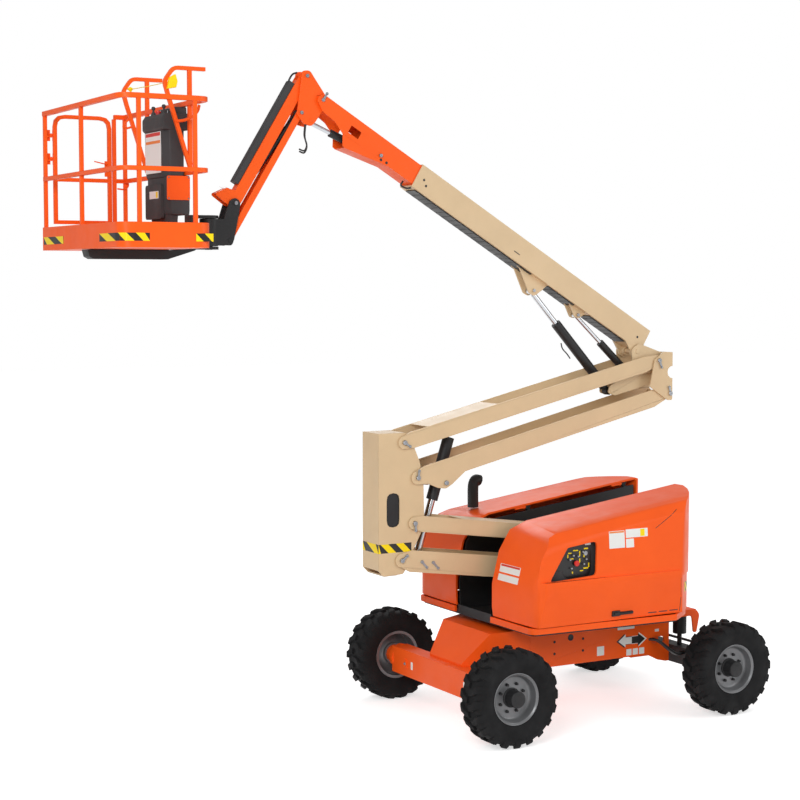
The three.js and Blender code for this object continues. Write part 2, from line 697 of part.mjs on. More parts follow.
function riser() {
  const outline = [[riserFrontX, riserHeight], [riserFrontX, -78], [-173, -129, 20], [20, -122, 30],
    [53, -76, 20], [128, 92, 30], [199, 224, 60], [231, 379, 60], [225, 644, 60], [187, 844, 60],
    [127, 988, 40], [50, riserHeight, 30]];
  const inner = riserHalfWidth - linkPlate;
  const plates = platePair(outline, inner, riserHalfWidth);
  const front = box(
    riserFrontX, riserFrontX + linkPlate, -riserHalfWidth + 1, riserHalfWidth - 1, -78, riserHeight,
  );
  const top = box(
    riserFrontX, 40, -riserHalfWidth + 1, riserHalfWidth - 1, riserHeight - linkPlate, riserHeight,
  );
  const foot = box(-172, -40, -riserHalfWidth + 1, riserHalfWidth - 1, -129, -129 + linkPlate);
  const slot = [[-141, 291, 62], [-13, 291, 62], [-13, 587, 62], [-141, 587, 62]];
  const slots = sidePlate(slot, -riserHalfWidth - 1, riserHalfWidth + 1);
  const pins = riserPins.map(([x, z]) => pin(x, z, linkPinRadius, linkPinReach));
  return join(cut(join(plates, front, top, foot), slots), ...pins);
}

const riserPivot = place(turntable, "riser_pivot", riserFootX, 0, riserFootZ);
addNode(riserPivot, "riser", riser(), beige);

// ---------------------------------------------------------------- upper links

const upperBottomPivot = place(riserPivot, "upper_bottom_pivot", riserPins[2][0], 0, riserPins[2][1],
  -upperLinkAngle);
const upperTopPivot = place(riserPivot, "upper_top_pivot", riserPins[3][0], 0, riserPins[3][1],
  -upperLinkAngle);
const towerTrunnion = { along: 262, rise: -123 };

const upperTopLink = link({
  length: upperLinkLength, depth: upperTopDepth, nearBoss: 58, farBoss: 52, nearTaper: 80, farTaper: 150,
  web: [{ from: 260, to: 1000, edge: 1 }],
}).mirror([1, 0, 0]);
addNode(upperTopPivot, "upper_top_link", upperTopLink, beige);

function upperBottomLink() {
  const body = link({
    length: upperLinkLength, depth: upperBottomDepth, nearBoss: 62, farBoss: 36, nearTaper: 90,
      farTaper: 190,
    web: [{ from: 900, to: upperLinkLength - 260, edge: -1 }],
  }).mirror([1, 0, 0]);
  const gusset = [[60, -60], [towerTrunnion.along - 90, towerTrunnion.rise - 20, 20],
    [towerTrunnion.along - 10, towerTrunnion.rise - 50, 40], [towerTrunnion.along + 60,
      towerTrunnion.rise - 30, 40],
    [500, -70]];
  const gussets = platePair(gusset, plateInner, linkHalf);
  const trunnions = bossPair(towerTrunnion.along, towerTrunnion.rise, 18, 62, linkHalf + 6);
  return join(body, gussets, trunnions);
}
addNode(upperBottomPivot, "upper_bottom_link", upperBottomLink(), beige);

// ---------------------------------------------------------------- upper upright

const upperRun = [upperLinkLength * Math.cos(upperLinkAngle * degrees),
  upperLinkLength * Math.sin(upperLinkAngle * degrees)];
const knucklePivot = place(
  riserPivot, "knuckle_pivot", riserPins[2][0] + upperRun[0], 0, riserPins[2][1] + upperRun[1],
);
const earInner = boomHalfWidth + 7;
const earOuter = earInner + 13;
const boomPinRadius = 24;
const liftBase = [-595, 34];
const levelBase = [-365, 194];
const cylinderPinRadius = 14;
const liftEyeWidth = 33;
const smallEyeWidth = 28;

function upperUpright() {
  const [topX, topZ] = upperPinSpacing;
  const side = [[-26, -63, 15], [27, -63, 15], [27, 386, 8], [-77, 392], [-180, 320], [-236, 70, 20], [-151,
    15]];
  const plates = platePair(side, standInner, standOuter);
  const notch = pin(27, 200, 58, standOuter + 2);
  const back = box(15, 27, -standInner - 1, standInner + 1, 105, 386);
  const top = box(topX + 62, 27, -standInner - 1, standInner + 1, 374, 386);
  const ears = [[-60, 250], [15, 250], [15, 386], [topX + 62, 386], [-300, 464, 20], [boomPivot[0] + 10,
    boomPivot[1] + 70, 50],
    [boomPivot[0] - 70, boomPivot[1] + 20, 50], [boomPivot[0] - 60, boomPivot[1] - 60, 40],
      [levelBase[0] - 40, levelBase[1] - 30],
    [-200, 200]];
  const earPlates = platePair(ears, earInner, earOuter);
  const earTie = box(-20, 20, -standInner - 1, standInner + 1, 290, 384);
  const cheek = [[-20, 290], [15, 290], [15, 150], [-120, 90], [liftBase[0] + 40, liftBase[1] - 42, 20],
    [liftBase[0] - 42, liftBase[1] - 20, 30], [liftBase[0] - 30, liftBase[1] + 40, 30],
    [levelBase[0] - 34, levelBase[1] + 12, 20], [levelBase[0] + 10, levelBase[1] + 36, 20], [-200, 200]];
  const cheeks = platePair(cheek, 62, 74);
  const pins = join(
    pin(0, 0, linkPinRadius, standPinReach),
    pin(topX, topZ, linkPinRadius, standPinReach),
    pin(boomPivot[0], boomPivot[1], boomPinRadius, earOuter + 6, 16),
    pin(liftBase[0], liftBase[1], cylinderPinRadius + 4, 80),
    pin(levelBase[0], levelBase[1], cylinderPinRadius, 80),
  );
  return join(cut(join(plates, back), notch), top, earPlates, earTie, cheeks, pins);
}
addNode(knucklePivot, "upper_upright", upperUpright(), beige);

// ---------------------------------------------------------------- cylinders

// A barrel along +X from its base eye at the origin: eye, tube and gland.
function barrel({ eye, basePin, start, end, radius, width, rod }) {
  const eyeBody = pin(0, 0, eye, width);
  const neck = bar([0, 0, 0], [start + 4, 0, 0], Math.min(eye, radius) * 0.7, 10);
  const tube = bar([start, 0, 0], [end, 0, 0], radius, 12);
  const rodSpace = bar([start + 20, 0, 0], [end + 1, 0, 0], rod + 0.4, 12);
  return cut(join(eyeBody, neck, tube), bore(0, 0, basePin, 200), rodSpace);
}

// A rod along +X that ends in an eye, with its pin in it, at the given distance.
function rodWithEye({ from, length, radius, eye, width }) {
  return join(bar([from, 0, 0], [length, 0, 0], radius, 12), pin(length, 0, eye, width));
}


// Angle of a line from one pin to another, as a turn about +Y that lays +X along it.
const aim = (from, to) => -Math.atan2(to[1] - from[1], to[0] - from[0]) / degrees;
const distance = (from, to) => Math.hypot(to[0] - from[0], to[1] - from[1]);

function addCylinder(group, name, from, to, size) {
  const length = distance(from, to);
  const holder = place(group, `${name}_axis`, from[0], 0, from[1], aim(from, to));
  addNode(holder, `${name}_barrel`, barrel(size), black);
  const rodBody = rodWithEye({
    from: size.rodFrom, length, radius: size.rod, eye: size.rodEye, width: size.width,
  });
  addNode(holder, `${name}_rod`, rodBody, chrome);
}

// Turns a point of a tilted frame into the frame that holds it.
function fromTilted(origin, tilt, point) {
  const c = Math.cos(tilt * degrees);
  const s = Math.sin(tilt * degrees);
  return [origin[0] + point[0] * c + point[1] * s, origin[1] - point[0] * s + point[1] * c];
}

const trunnionPoint = fromTilted(riserPins[2], -upperLinkAngle, [towerTrunnion.along, towerTrunnion.rise]);
const eyePoint = fromTilted([0, 0], lowerLinkAngle, [towerEye.along, towerEye.rise]);
const towerLength = distance(trunnionPoint, eyePoint);
const towerBackReach = 400;
const towerFrontReach = 170;
const towerAxis = place(riserPivot, "tower_cylinder_axis", trunnionPoint[0], 0, trunnionPoint[1],
  aim(trunnionPoint, eyePoint));

function towerBarrel() {
  const tube = bar([-towerBackReach, 0, 0], [towerFrontReach, 0, 0], 52, 12);
  const collar = bar([-40, 0, 0], [40, 0, 0], 60, 12);
  const hole = bore(0, 0, 18, 200);
  const holeStops = box(-60, 60, -54, 54, -60, 60);
  const rodSpace = bar([-towerBackReach + 20, 0, 0], [towerFrontReach + 1, 0, 0], 32.4, 12);
  const blocks = bossPair(0, 0, 34, 40, 75);
  return cut(join(tube, collar, blocks), rodSpace, cut(hole, holeStops));
}

addNode(towerAxis, "tower_cylinder_barrel", towerBarrel(), black);
const towerRod = rodWithEye({
  from: -towerBackReach + 140, length: towerLength, radius: 32, eye: 36, width: towerEye.width,
});
addNode(towerAxis, "tower_cylinder_rod", towerRod, chrome);

// ---------------------------------------------------------------- main boom

const boomFrame = place(knucklePivot, "boom_pivot", boomPivot[0], 0, boomPivot[1], boomAngle);
const boomTop = boomBottom + boomDepth;
const flyHalfWidth = boomHalfWidth - boomWall - flySideGap;
const flyTop = boomTop - boomWall - 5;
const flyBottom = boomBottom + boomWall + 15;
const liftLug = [1251, -86];
const levelLug = [715, -28];

function mainBoom() {
  const shell = cut(
    box(-boomLength, 42, -boomHalfWidth, boomHalfWidth, boomBottom, boomTop),
    box(-boomLength - 1, 43, -boomHalfWidth + boomWall, boomHalfWidth - boomWall, boomBottom + boomWall,
      boomTop - boomWall),
  );
  const foot = [[-170, boomBottom + 4], [-60, -30, 20], [-30, -58, 30], [30, -58, 30], [58, -10, 30], [42,
    boomBottom + 4]];
  const feet = platePair(foot, boomHalfWidth - 22, boomHalfWidth);
  const footBosses = bossPair(0, 0, 44, 42, boomHalfWidth - 20);
  const liftPlate = [[-1591, boomBottom + 2], [-1481, 9], [-1281, -129, 40], [-1215, -125, 40], [-1173,
    -38], [-1148, boomBottom + 2]];
  const liftPlates = platePair(liftPlate, 40, 54);
  const levelPlate = [[-863, boomBottom + 2], [-735, -60, 25], [-690, -50, 25], [-644, boomBottom + 2]];
  const levelPlates = platePair(levelPlate, 34, 46);
  const stubs = join(
    eyeStubs(-liftLug[0], liftLug[1], cylinderPinRadius + 4, liftEyeWidth, 62),
    eyeStubs(-levelLug[0], levelLug[1], cylinderPinRadius, smallEyeWidth, 54),
  );
  const padBody = box(
    -boomLength + 10, -boomLength + 110, -boomHalfWidth + boomWall - 1, boomHalfWidth - boomWall + 1,
    boomBottom + boomWall - 1, boomTop - boomWall + 1,
  );
  const padSpace = box(
    -boomLength, -boomLength + 120, -flyHalfWidth - seat, flyHalfWidth + seat, flyBottom - seat,
      flyTop + seat,
  );
  const pads = cut(padBody, padSpace);
  return cut(join(shell, feet, footBosses, liftPlates, levelPlates, stubs, pads), bore(0, 0, boomPinRadius,
    200, 16));
}
addNode(boomFrame, "main_boom", mainBoom(), beige);

// ---------------------------------------------------------------- fly boom

const slaveBase = [3204, 83];
const tipPinRadius = 18;

function flyBoom() {
  const [tipX, tipZ] = flyTip;
  const outline = [[-flyInnerEnd, flyBottom], [-3100, flyBottom], [-3524, -48, 10], [-3552, -43, 10],
    [-3600, 44, 20],
    [-3717, 90, 60], [-3851, 100, 20], [-tipX - 40, tipZ - 30, 20], [-tipX - 46, tipZ + 20, 30], [-tipX,
      flyTop, 20],
    [-flyInnerEnd, flyTop]];
  const body = sidePlate(outline, -flyHalfWidth, flyHalfWidth);
  const wall = 6;
  const hollow = [[-flyInnerEnd + 1, flyBottom + wall], [-3102, flyBottom + wall], [-3524, -42], [-3560,
    -70],
    [-tipX - 100, -70], [-tipX - 100, 300], [-3560, 300], [-3560, flyTop - wall], [-flyInnerEnd + 1,
      flyTop - wall]];
  const inside = sidePlate(hollow, -flyHalfWidth + wall, flyHalfWidth - wall);
  const window = [[-3455, 83, 8], [-3455, 150, 8], [-3564, 150, 8], [-3564, 83, 8]];
  const windows = sidePlate(window, -flyHalfWidth - 1, flyHalfWidth + 1);
  const bosses = bossPair(-tipX, tipZ, 44, flyHalfWidth - 12, flyHalfWidth);
  const pins = join(
    pin(-tipX, tipZ, tipPinRadius, flyHalfWidth + 6),
    pin(-slaveBase[0], slaveBase[1], cylinderPinRadius, flyHalfWidth + 6),
  );
  const pads = cut(
    box(
      -flyInnerEnd - 110, -flyInnerEnd - 10, -flyHalfWidth - flySideGap + seat,
        flyHalfWidth + flySideGap - seat,
      boomBottom + boomWall + seat, boomTop - boomWall - seat,
    ),
    box(-flyInnerEnd - 120, -flyInnerEnd, -flyHalfWidth + 2, flyHalfWidth - 2, flyBottom + 2, flyTop - 2),
  );
  return join(cut(body, inside, windows), bosses, pins, pads);
}
addNode(boomFrame, "fly_boom", flyBoom(), orange);

// ---------------------------------------------------------------- tip bracket

const tipPoint = [-flyTip[0], flyTip[1]];
const tipFrame = place(boomFrame, "tip_pivot", tipPoint[0], 0, tipPoint[1], -boomAngle);
const bracketInner = jibHalfWidth + 6;
const bracketOuter = bracketInner + bracketPlate;
const slaveEye = [-103, -173];
const linkPinOnBracket = [jibPinOnBracket[0] - jibPinSpacing[0], jibPinOnBracket[1] - jibPinSpacing[1]];
const jibPinRadius = 16;

function tipBracket() {
  const [cx, cz] = jibPinOnBracket;
  const [dx, dz] = linkPinOnBracket;
  const [bx, bz] = slaveEye;
  const outline = [[cx - 48, cz - 10, 20], [cx - 40, cz + 42, 40], [cx + 30, cz + 46, 40], [cx + 62, cz,
    30], [48, 30, 40],
    [44, -40, 40], [bx + 46, bz - 10, 40], [bx + 10, bz - 46, 40], [bx - 60, bz - 30, 20], [dx - 40,
      dz - 12, 30],
    [dx - 30, dz + 38, 30]];
  const plates = platePair(outline, bracketInner, bracketOuter);
  const ties = join(pin(-46, 88, 20, bracketInner + 1), pin(-92, -52, 14, bracketInner + 1));
  const bosses = bossPair(0, 0, 32, bracketInner, flyHalfWidth - 18);
  const pins = join(
    pin(cx, cz, jibPinRadius, bracketOuter + 6),
    pin(dx, dz, jibPinRadius, bracketOuter + 6),
    eyeStubs(bx, bz, cylinderPinRadius, smallEyeWidth, bracketOuter + 6),
  );
  return join(cut(join(plates, bosses, ties), bore(0, 0, tipPinRadius, 200)), pins);
}
addNode(tipFrame, "tip_bracket", tipBracket(), orange);

// ---------------------------------------------------------------- boom cylinders

const liftEyePoint = fromTilted(boomPivot, boomAngle, [-liftLug[0], liftLug[1]]);
addCylinder(knucklePivot, "lift_cylinder", liftBase, liftEyePoint, {
  basePin: cylinderPinRadius + 4, eye: 38, rodEye: 32, width: liftEyeWidth,
  start: 60, end: 860, radius: 45, rod: 25, rodFrom: 330,
});
const levelEyePoint = fromTilted(boomPivot, boomAngle, [-levelLug[0], levelLug[1]]);
addCylinder(knucklePivot, "level_cylinder", levelBase, levelEyePoint, {
  basePin: cylinderPinRadius, eye: 28, rodEye: 22, width: smallEyeWidth,
  start: 45, end: 430, radius: 35, rod: 19, rodFrom: 310,
});
const slaveEyePoint = fromTilted(tipPoint, -boomAngle, slaveEye);
addCylinder(boomFrame, "slave_cylinder", [-slaveBase[0], slaveBase[1]], slaveEyePoint, {
  basePin: cylinderPinRadius, eye: 28, rodEye: 26, width: smallEyeWidth,
  start: 45, end: 470, radius: 34, rod: 19, rodFrom: 260,
});

// ---------------------------------------------------------------- jib

const jibFrame = place(tipFrame, "jib_arm_pivot", jibPinOnBracket[0], 0, jibPinOnBracket[1], jibAngle);
const linkFrame = place(tipFrame, "jib_link_pivot", linkPinOnBracket[0], 0, linkPinOnBracket[1], jibAngle);
const jibInner = jibHalfWidth - jibPlate;
const jibArmDepth = 96;
const jibLinkDepth = 56;
const jibEye = { along: 1060, rise: -20, width: 30 };

function jibArm() {
  const half = jibArmDepth / 2;
  const outline = [[10, 46, 30], [-60, half], [-jibLength + 90, half], [-jibLength + 70, 120, 10],
    [-jibLength - 20, 182, 10],
    [-jibLength - 34, 172, 10], [-jibLength - 45, 40, 30], [-jibLength - 20, -44, 30], [-jibLength + 60,
      -half],
    [-70, -half], [10, -46, 30], [46, 0, 30]];
  const plates = platePair(outline, jibInner, jibHalfWidth);
  const web = box(-jibLength + 90, -70, -jibInner - 1, jibInner + 1, half - 7, half);
  const flare = [[-jibLength + 90, half - 7], [-jibLength + 90, half], [-jibLength + 74, 116],
    [-jibLength - 15, 176],
    [-jibLength - 20, 168], [-jibLength + 66, 110], [-jibLength + 80, half - 7]];
  const flarePlate = sidePlate(flare, -jibInner - 1, jibInner + 1);
  const stubs = eyeStubs(-jibEye.along, jibEye.rise, 12, jibEye.width, jibInner + 1);
  const tubes = join(bossPair(0, 0, 30, 34, jibInner + 1), bossPair(-jibLength, 0, 30, 20, jibInner + 1));
  const bores = [0, -jibLength].map((x) => bore(x, 0, jibPinRadius, 200));
  return cut(join(plates, web, flarePlate, stubs, tubes), ...bores);
}
addNode(jibFrame, "jib_arm", jibArm(), orange);

function hoseTray() {
  const half = jibArmDepth / 2;
  const section = [[-38, half + seat], [38, half + seat], [38, half + 52, 12], [-38, half + 52, 12]];
  return crossPlate(section, -jibLength + 150, -110);
}
addNode(jibFrame, "hose_tray", hoseTray(), plastic);

function jibLink() {
  const half = jibLinkDepth / 2;
  const outline = [[0, 30, 20], [-60, half], [-jibLength + 60, half], [-jibLength, 30, 20],
    [-jibLength - 32, 0, 20],
    [-jibLength, -32, 20], [-jibLength + 60, -half], [-60, -half], [0, -32, 20], [32, 0, 20]];
  const plates = platePair(outline, jibInner, jibHalfWidth);
  const web = box(-jibLength + 100, -220, -jibInner - 1, jibInner + 1, -half, -half + 6);
  const bores = [0, -jibLength].map((x) => bore(x, 0, jibPinRadius, 200));
  return cut(join(plates, web), ...bores);
}
addNode(linkFrame, "jib_link", jibLink(), orange);

const jibEyePoint = fromTilted(jibPinOnBracket, jibAngle, [-jibEye.along, jibEye.rise]);
addCylinder(tipFrame, "jib_cylinder", linkPinOnBracket, jibEyePoint, {
  basePin: jibPinRadius, eye: 28, rodEye: 24, width: jibEye.width,
  start: 40, end: 690, radius: 27, rod: 16, rodFrom: 110,
});

// ---------------------------------------------------------------- jib foot and rotator

const jibRun = fromTilted(jibPinOnBracket, jibAngle, [-jibLength, 0]);
const footFrame = place(tipFrame, "jib_foot_pivot", jibRun[0], 0, jibRun[1]);
const footLinkPin = [-jibPinSpacing[0], -jibPinSpacing[1]];
const rotatorTop = rotatorOffset[1] - 13;
const rotatorFoot = rotatorTop - rotatorHeight;

function jibFoot() {
  const [rx] = rotatorOffset;
  const [fx, fz] = footLinkPin;
  const outline = [[rx, rotatorTop], [rx, rotatorFoot, 10], [fx - 40, fz - 40, 30], [fx + 20, fz - 42, 30],
    [fx + 40, fz + 10, 30],
    [34, -60, 30], [44, 10, 40], [0, 44, 30], [-50, 20, 30], [rx + 110, rotatorTop]];
  const plates = platePair(outline, bracketInner, bracketOuter);
  const rotator = bar([rx, 0, rotatorFoot], [rx, 0, rotatorTop], rotatorRadius, 16);
  const pins = join(
    pin(0, 0, jibPinRadius, bracketOuter + 6),
    pin(fx, fz, jibPinRadius, bracketOuter + 6),
  );
  const spindle = bar([rx, 0, rotatorFoot - 30], [rx, 0, rotatorTop + 30], 30, 16);
  return join(plates, rotator, pins, spindle);
}
addNode(footFrame, "jib_foot", jibFoot(), black);

// ---------------------------------------------------------------- platform

const platformFrame = place(footFrame, "platform_pivot", rotatorOffset[0], 0, -platformDrop);
const platformNear = -platformGap;
const platformFar = platformNear - platformLength;
const platformHalf = platformWidth / 2;
const headroom = platformDrop + rotatorTop;

function platformSupport() {
  const topZ = headroom + 4;
  const bottomZ = headroom - rotatorHeight - 4;
  const armHalf = 62;
  const arms = [[topZ, topZ + 24], [bottomZ - 24, bottomZ]].map(([z0, z1]) => join(
    box(-175, 0, -armHalf, armHalf, z0, z1),
    bar([0, 0, z0], [0, 0, z1], rotatorRadius + 4, 16),
  ));
  const upright = box(-185, -120, -armHalf, armHalf, bottomZ - 24, topZ + 24);
  const neck = box(platformNear + seat, -150, -armHalf, armHalf, 20, 150);
  const beamOutline = [[-170, 40], [platformNear + 30, -4], [platformFar + 40, -4], [platformFar + 55, -60,
    10],
    [platformFar + 90, -78, 10], [platformNear - 30, -78, 10], [-130, 0, 20]];
  const beam = sidePlate(beamOutline, -70, 70);
  const bearingSeats = box(platformFar + 100, platformNear - 20, -68, 68, -6, -seat);
  const spindleBore = bar([0, 0, bottomZ - 40], [0, 0, topZ + 40], boreRadius(30, 16), 16);
  const rotatorSpace = bar([0, 0, bottomZ], [0, 0, topZ], rotatorRadius + 30, 16);
  return cut(join(...arms, upright, neck, beam, bearingSeats), spindleBore, rotatorSpace);
}
addNode(platformFrame, "platform_support", platformSupport(), black);

const platformPlan = (inset) => {
  const corner = platformCorner - inset;
  return [[platformFar + inset, -platformHalf + inset, corner], [platformNear - inset,
    -platformHalf + inset, corner],
    [platformNear - inset, platformHalf - inset], [platformFar + inset, platformHalf - inset]];
};

function platformFloor() {
  const tray = cut(
    planPlate(platformPlan(0), 0, toeBoardHeight),
    planPlate(platformPlan(sheet), sheet + 12, toeBoardHeight + 1),
  );
  return tray;
}
addNode(platformFrame, "platform_floor", platformFloor(), orange);

const postHalf = railRadius * 0.8;
const railInset = sheet + seat + postHalf;
const railFar = platformFar + railInset;
const railNear = platformNear - railInset;
const railHalf = platformHalf - railInset;
const gateHingeX = railFar + 51;
const gateLatchX = railNear - 96;
const hoopTop = topRailHeight + 280;
const consoleSpan = [-487, -50];    // along Y
const hoopPlaces = [consoleSpan[0] - postHalf - 22, 368];
const hoopReach = 225;              // from the near rail over the platform
const gateLeafOffset = 32;          // hinge axis to the middle of the leaf's first tube
const gateLugHeights = [738, 930];

// A square-section rail round the platform at height z, open on the +Y side where the gate is.
function railRing(z, half) {
  const ring = cut(
    planPlate(platformPlan(railInset - half), z - half, z + half),
    planPlate(platformPlan(railInset + half), z - half - 1, z + half + 1),
  );
  return cut(ring, box(railFar + half, gateLatchX, railHalf - half - 1, platformHalf + 1, z - 50, z + 50));
}

// A flat band that follows an X-Z outline, between two offsets given as two outlines.
const band = (outer, inner, y0, y1) => cut(sidePlate(outer, y0, y1), sidePlate(inner, y0 - 1, y1 + 1));

// A guard hoop over the controls, seen from the side.
function hoop(y) {
  const half = postHalf;
  const low = midRailHeight;
  const thick = 2 * half;
  const outer = [[railNear + half, low], [railNear + half, hoopTop - thick], [railNear + 130,
    hoopTop - thick],
    [railNear + 130, hoopTop], [railNear - hoopReach + 85, hoopTop, 80], [railNear - hoopReach,
      hoopTop - 120, 80],
    [railNear - hoopReach + 35, hoopTop - 240, 30], [railNear - half, low + 40]];
  const inner = [[railNear - half, low + 130], [railNear - half, hoopTop - thick],
    [railNear - hoopReach + 101, hoopTop - thick, 60], [railNear - hoopReach + 33, hoopTop - 120, 60],
    [railNear - hoopReach + 63, hoopTop - 226, 20]];
  return band(outer, inner, y - half, y + half);
}

function platformRails() {
  const foot = toeBoardHeight - 30;
  const postPoints = [[railFar, railHalf], [railFar, 0], [railFar + 135, -railHalf],
    [railNear - 110, -railHalf], [railNear, 0], [railNear, railHalf], [gateLatchX, railHalf]];
  const posts = postPoints.map(([x, y]) => box(
    x - postHalf, x + postHalf, y - postHalf, y + postHalf, foot + 1, topRailHeight - railRadius + 1,
  ));
  const feet = planPlate(platformPlan(sheet + seat), foot, foot + 20);
  const footRing = cut(feet, planPlate(platformPlan(sheet + 40), foot - 1, foot + 21));
  const hoops = hoopPlaces.map(hoop);
  const lugs = gateLugHeights.map((z) => join(
    box(railFar, gateHingeX + 9, railHalf - 8, railHalf + 8, z, z + 12),
    bar([gateHingeX, railHalf, z], [gateHingeX, railHalf, z + 34], 7, 8),
  ));
  return join(
    railRing(topRailHeight, railRadius), railRing(midRailHeight, railRadius * 0.9),
    ...posts, footRing, ...hoops, ...lugs,
  );
}
addNode(platformFrame, "platform_rails", platformRails(), orange);

function gate() {
  const half = railRadius * 0.84;
  const left = gateHingeX + gateLeafOffset - half;
  const right = gateLatchX - railRadius - 8;
  const bottom = toeBoardHeight + 30;
  const top = topRailHeight;
  const y = railHalf;
  const outer = [[left, bottom], [right, bottom], [right, top, 100], [left, top, 100]];
  const inner = [[left + 2 * half, bottom + 2 * half], [right - 2 * half, bottom + 2 * half],
    [right - 2 * half, top - 2 * half, 70], [left + 2 * half, top - 2 * half, 70]];
  const frame = band(outer, inner, y - half, y + half);
  const rung = box(left + half, right - half, y - half, y + half, midRailHeight - half,
    midRailHeight + half);
  const eyes = gateLugHeights.map((z) => cut(
    join(
      box(gateHingeX, left + half, y - 6, y + 6, z + 12 + seat, z + 30),
      bar([gateHingeX, y, z + 12 + seat], [gateHingeX, y, z + 30], 14, 10),
    ),
    bar([gateHingeX, y, z], [gateHingeX, y, z + 60], boreRadius(7, 8), 8),
  ));
  return join(frame, rung, ...eyes);
}
addNode(platformFrame, "gate", gate(), orange);

function platformConsole() {
  const near = railNear - railRadius - 6;
  const [y0, y1] = consoleSpan;
  const base = sheet + 12 + seat;
  const column = [[near - 60, base], [near - 40, base], [near - 40, 780], [near - 60, 780]];
  const pedestal = box(near - 180, near - 20, y0 + 60, y1 - 60, base, 640);
  const head = [[near, 640], [near, 1105, 30], [near - 90, 1110, 20], [near - 200, 1040, 20], [near - 200,
    640, 20]];
  return join(sidePlate(column, y0 + 40, y1 - 40), pedestal, sidePlate(head, y0, y1));
}
addNode(platformFrame, "platform_console", platformConsole(), plastic);

// ---------------------------------------------------------------- origin

// The origin is on the ground at the centre of the footprint.
machine.updateMatrixWorld(true);
const bounds = new THREE.Box3().setFromObject(machine);
const middle = bounds.getCenter(new THREE.Vector3());
machine.position.set(-middle.x, -middle.y, -bounds.min.z);
machine.updateMatrixWorld(true);

export default machine;
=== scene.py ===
# Articulating boom lift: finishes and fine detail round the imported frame. Metres, +Z up.
# "right" is the -Y side, "left" the +Y side. The platform points along -X.
import json
import math

import bmesh
import bpy
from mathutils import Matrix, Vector
from mathutils.bvhtree import BVHTree

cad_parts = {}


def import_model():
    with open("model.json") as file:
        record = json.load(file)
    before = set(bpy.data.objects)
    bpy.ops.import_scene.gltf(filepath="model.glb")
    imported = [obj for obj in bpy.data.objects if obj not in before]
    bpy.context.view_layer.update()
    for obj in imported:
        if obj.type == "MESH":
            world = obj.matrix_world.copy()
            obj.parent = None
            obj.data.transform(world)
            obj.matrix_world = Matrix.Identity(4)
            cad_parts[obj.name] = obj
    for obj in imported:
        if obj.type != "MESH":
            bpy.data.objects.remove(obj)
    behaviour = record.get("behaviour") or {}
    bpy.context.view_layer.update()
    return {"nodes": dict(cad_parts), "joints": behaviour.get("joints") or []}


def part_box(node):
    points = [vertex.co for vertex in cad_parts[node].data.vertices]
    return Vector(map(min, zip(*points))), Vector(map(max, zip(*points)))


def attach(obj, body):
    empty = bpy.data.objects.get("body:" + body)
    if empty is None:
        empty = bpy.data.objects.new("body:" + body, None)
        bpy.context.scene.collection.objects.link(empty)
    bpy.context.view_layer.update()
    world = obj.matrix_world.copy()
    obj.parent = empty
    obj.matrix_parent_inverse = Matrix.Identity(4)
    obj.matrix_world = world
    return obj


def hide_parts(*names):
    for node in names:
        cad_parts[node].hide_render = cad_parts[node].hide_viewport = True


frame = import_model()
nodes = frame["nodes"]
pivot = {j["name"]: Vector(j["pos_m"]) for j in frame["joints"] if "pos_m" in j}

MM = 0.001
X, Y, Z = Vector((1, 0, 0)), Vector((0, 1, 0)), Vector((0, 0, 1))
SIDES = {"right": -1, "left": 1}
slew_x = pivot["slew"].x


def at(x, y, z):
    """A point given in millimetres from the slew axis at ground level."""
    return Vector((slew_x + x * MM, y * MM, z * MM))


def new_object(name, data):
    made = bpy.data.objects.new(name, data)
    bpy.context.scene.collection.objects.link(made)
    return made


# -------- camera

camera_data = bpy.data.cameras.new("camera")
camera_data.sensor_width = 36
camera_data.lens = 79.0
camera_data.clip_end = 400
camera = new_object("camera", camera_data)
camera.location = at(-9126.1, -13232.9, 3914.6)
camera.rotation_euler = (math.radians(86.084), 0, math.radians(-29.462))
bpy.context.scene.camera = camera


# -------- materials

def new_material(name):
    material = bpy.data.materials.new(name)
    material.use_nodes = True
    tree = material.node_tree
    return material, tree, tree.nodes["Principled BSDF"]


def linear(colour):
    """An sRGB colour of three numbers from 0 to 255 as linear RGBA."""
    parts = [c / 255 for c in colour]
    return [p / 12.92 if p <= 0.04045 else ((p + 0.055) / 1.055) ** 2.4 for p in parts] + [1]


def set_inputs(node, **values):
    """Sets a node's inputs, their spaces written as underscores."""
    for name, value in values.items():
        node.inputs[name.replace("_", " ")].default_value = value
    return node


def noise(tree, scale, detail, roughness=0.5):
    place = tree.nodes.new("ShaderNodeTexCoord")
    texture = set_inputs(tree.nodes.new("ShaderNodeTexNoise"), Scale=scale, Detail=detail, Roughness=roughness)
    tree.links.new(place.outputs["Object"], texture.inputs["Vector"])
    return texture.outputs["Fac"]


def ramp(tree, value, low, high):
    """Two colours mixed by a value of about 0.35 to 0.65."""
    node = tree.nodes.new("ShaderNodeValToRGB")
    node.color_ramp.elements[0].position = 0.35
    node.color_ramp.elements[1].position = 0.65
    node.color_ramp.elements[0].color = low
    node.color_ramp.elements[1].color = high
    tree.links.new(value, node.inputs["Fac"])
    return node.outputs["Color"]


def spread(tree, value, low, high):
    """A value of about 0.3 to 0.7 spread over low to high."""
    node = set_inputs(tree.nodes.new("ShaderNodeMapRange"), From_Min=0.3, From_Max=0.7, To_Min=low, To_Max=high)
    tree.links.new(value, node.inputs["Value"])
    return node.outputs["Result"]


def bump(tree, bsdf, height, strength, distance):
    node = set_inputs(tree.nodes.new("ShaderNodeBump"), Strength=strength, Distance=distance)
    tree.links.new(height, node.inputs["Height"])
    tree.links.new(node.outputs["Normal"], bsdf.inputs["Normal"])


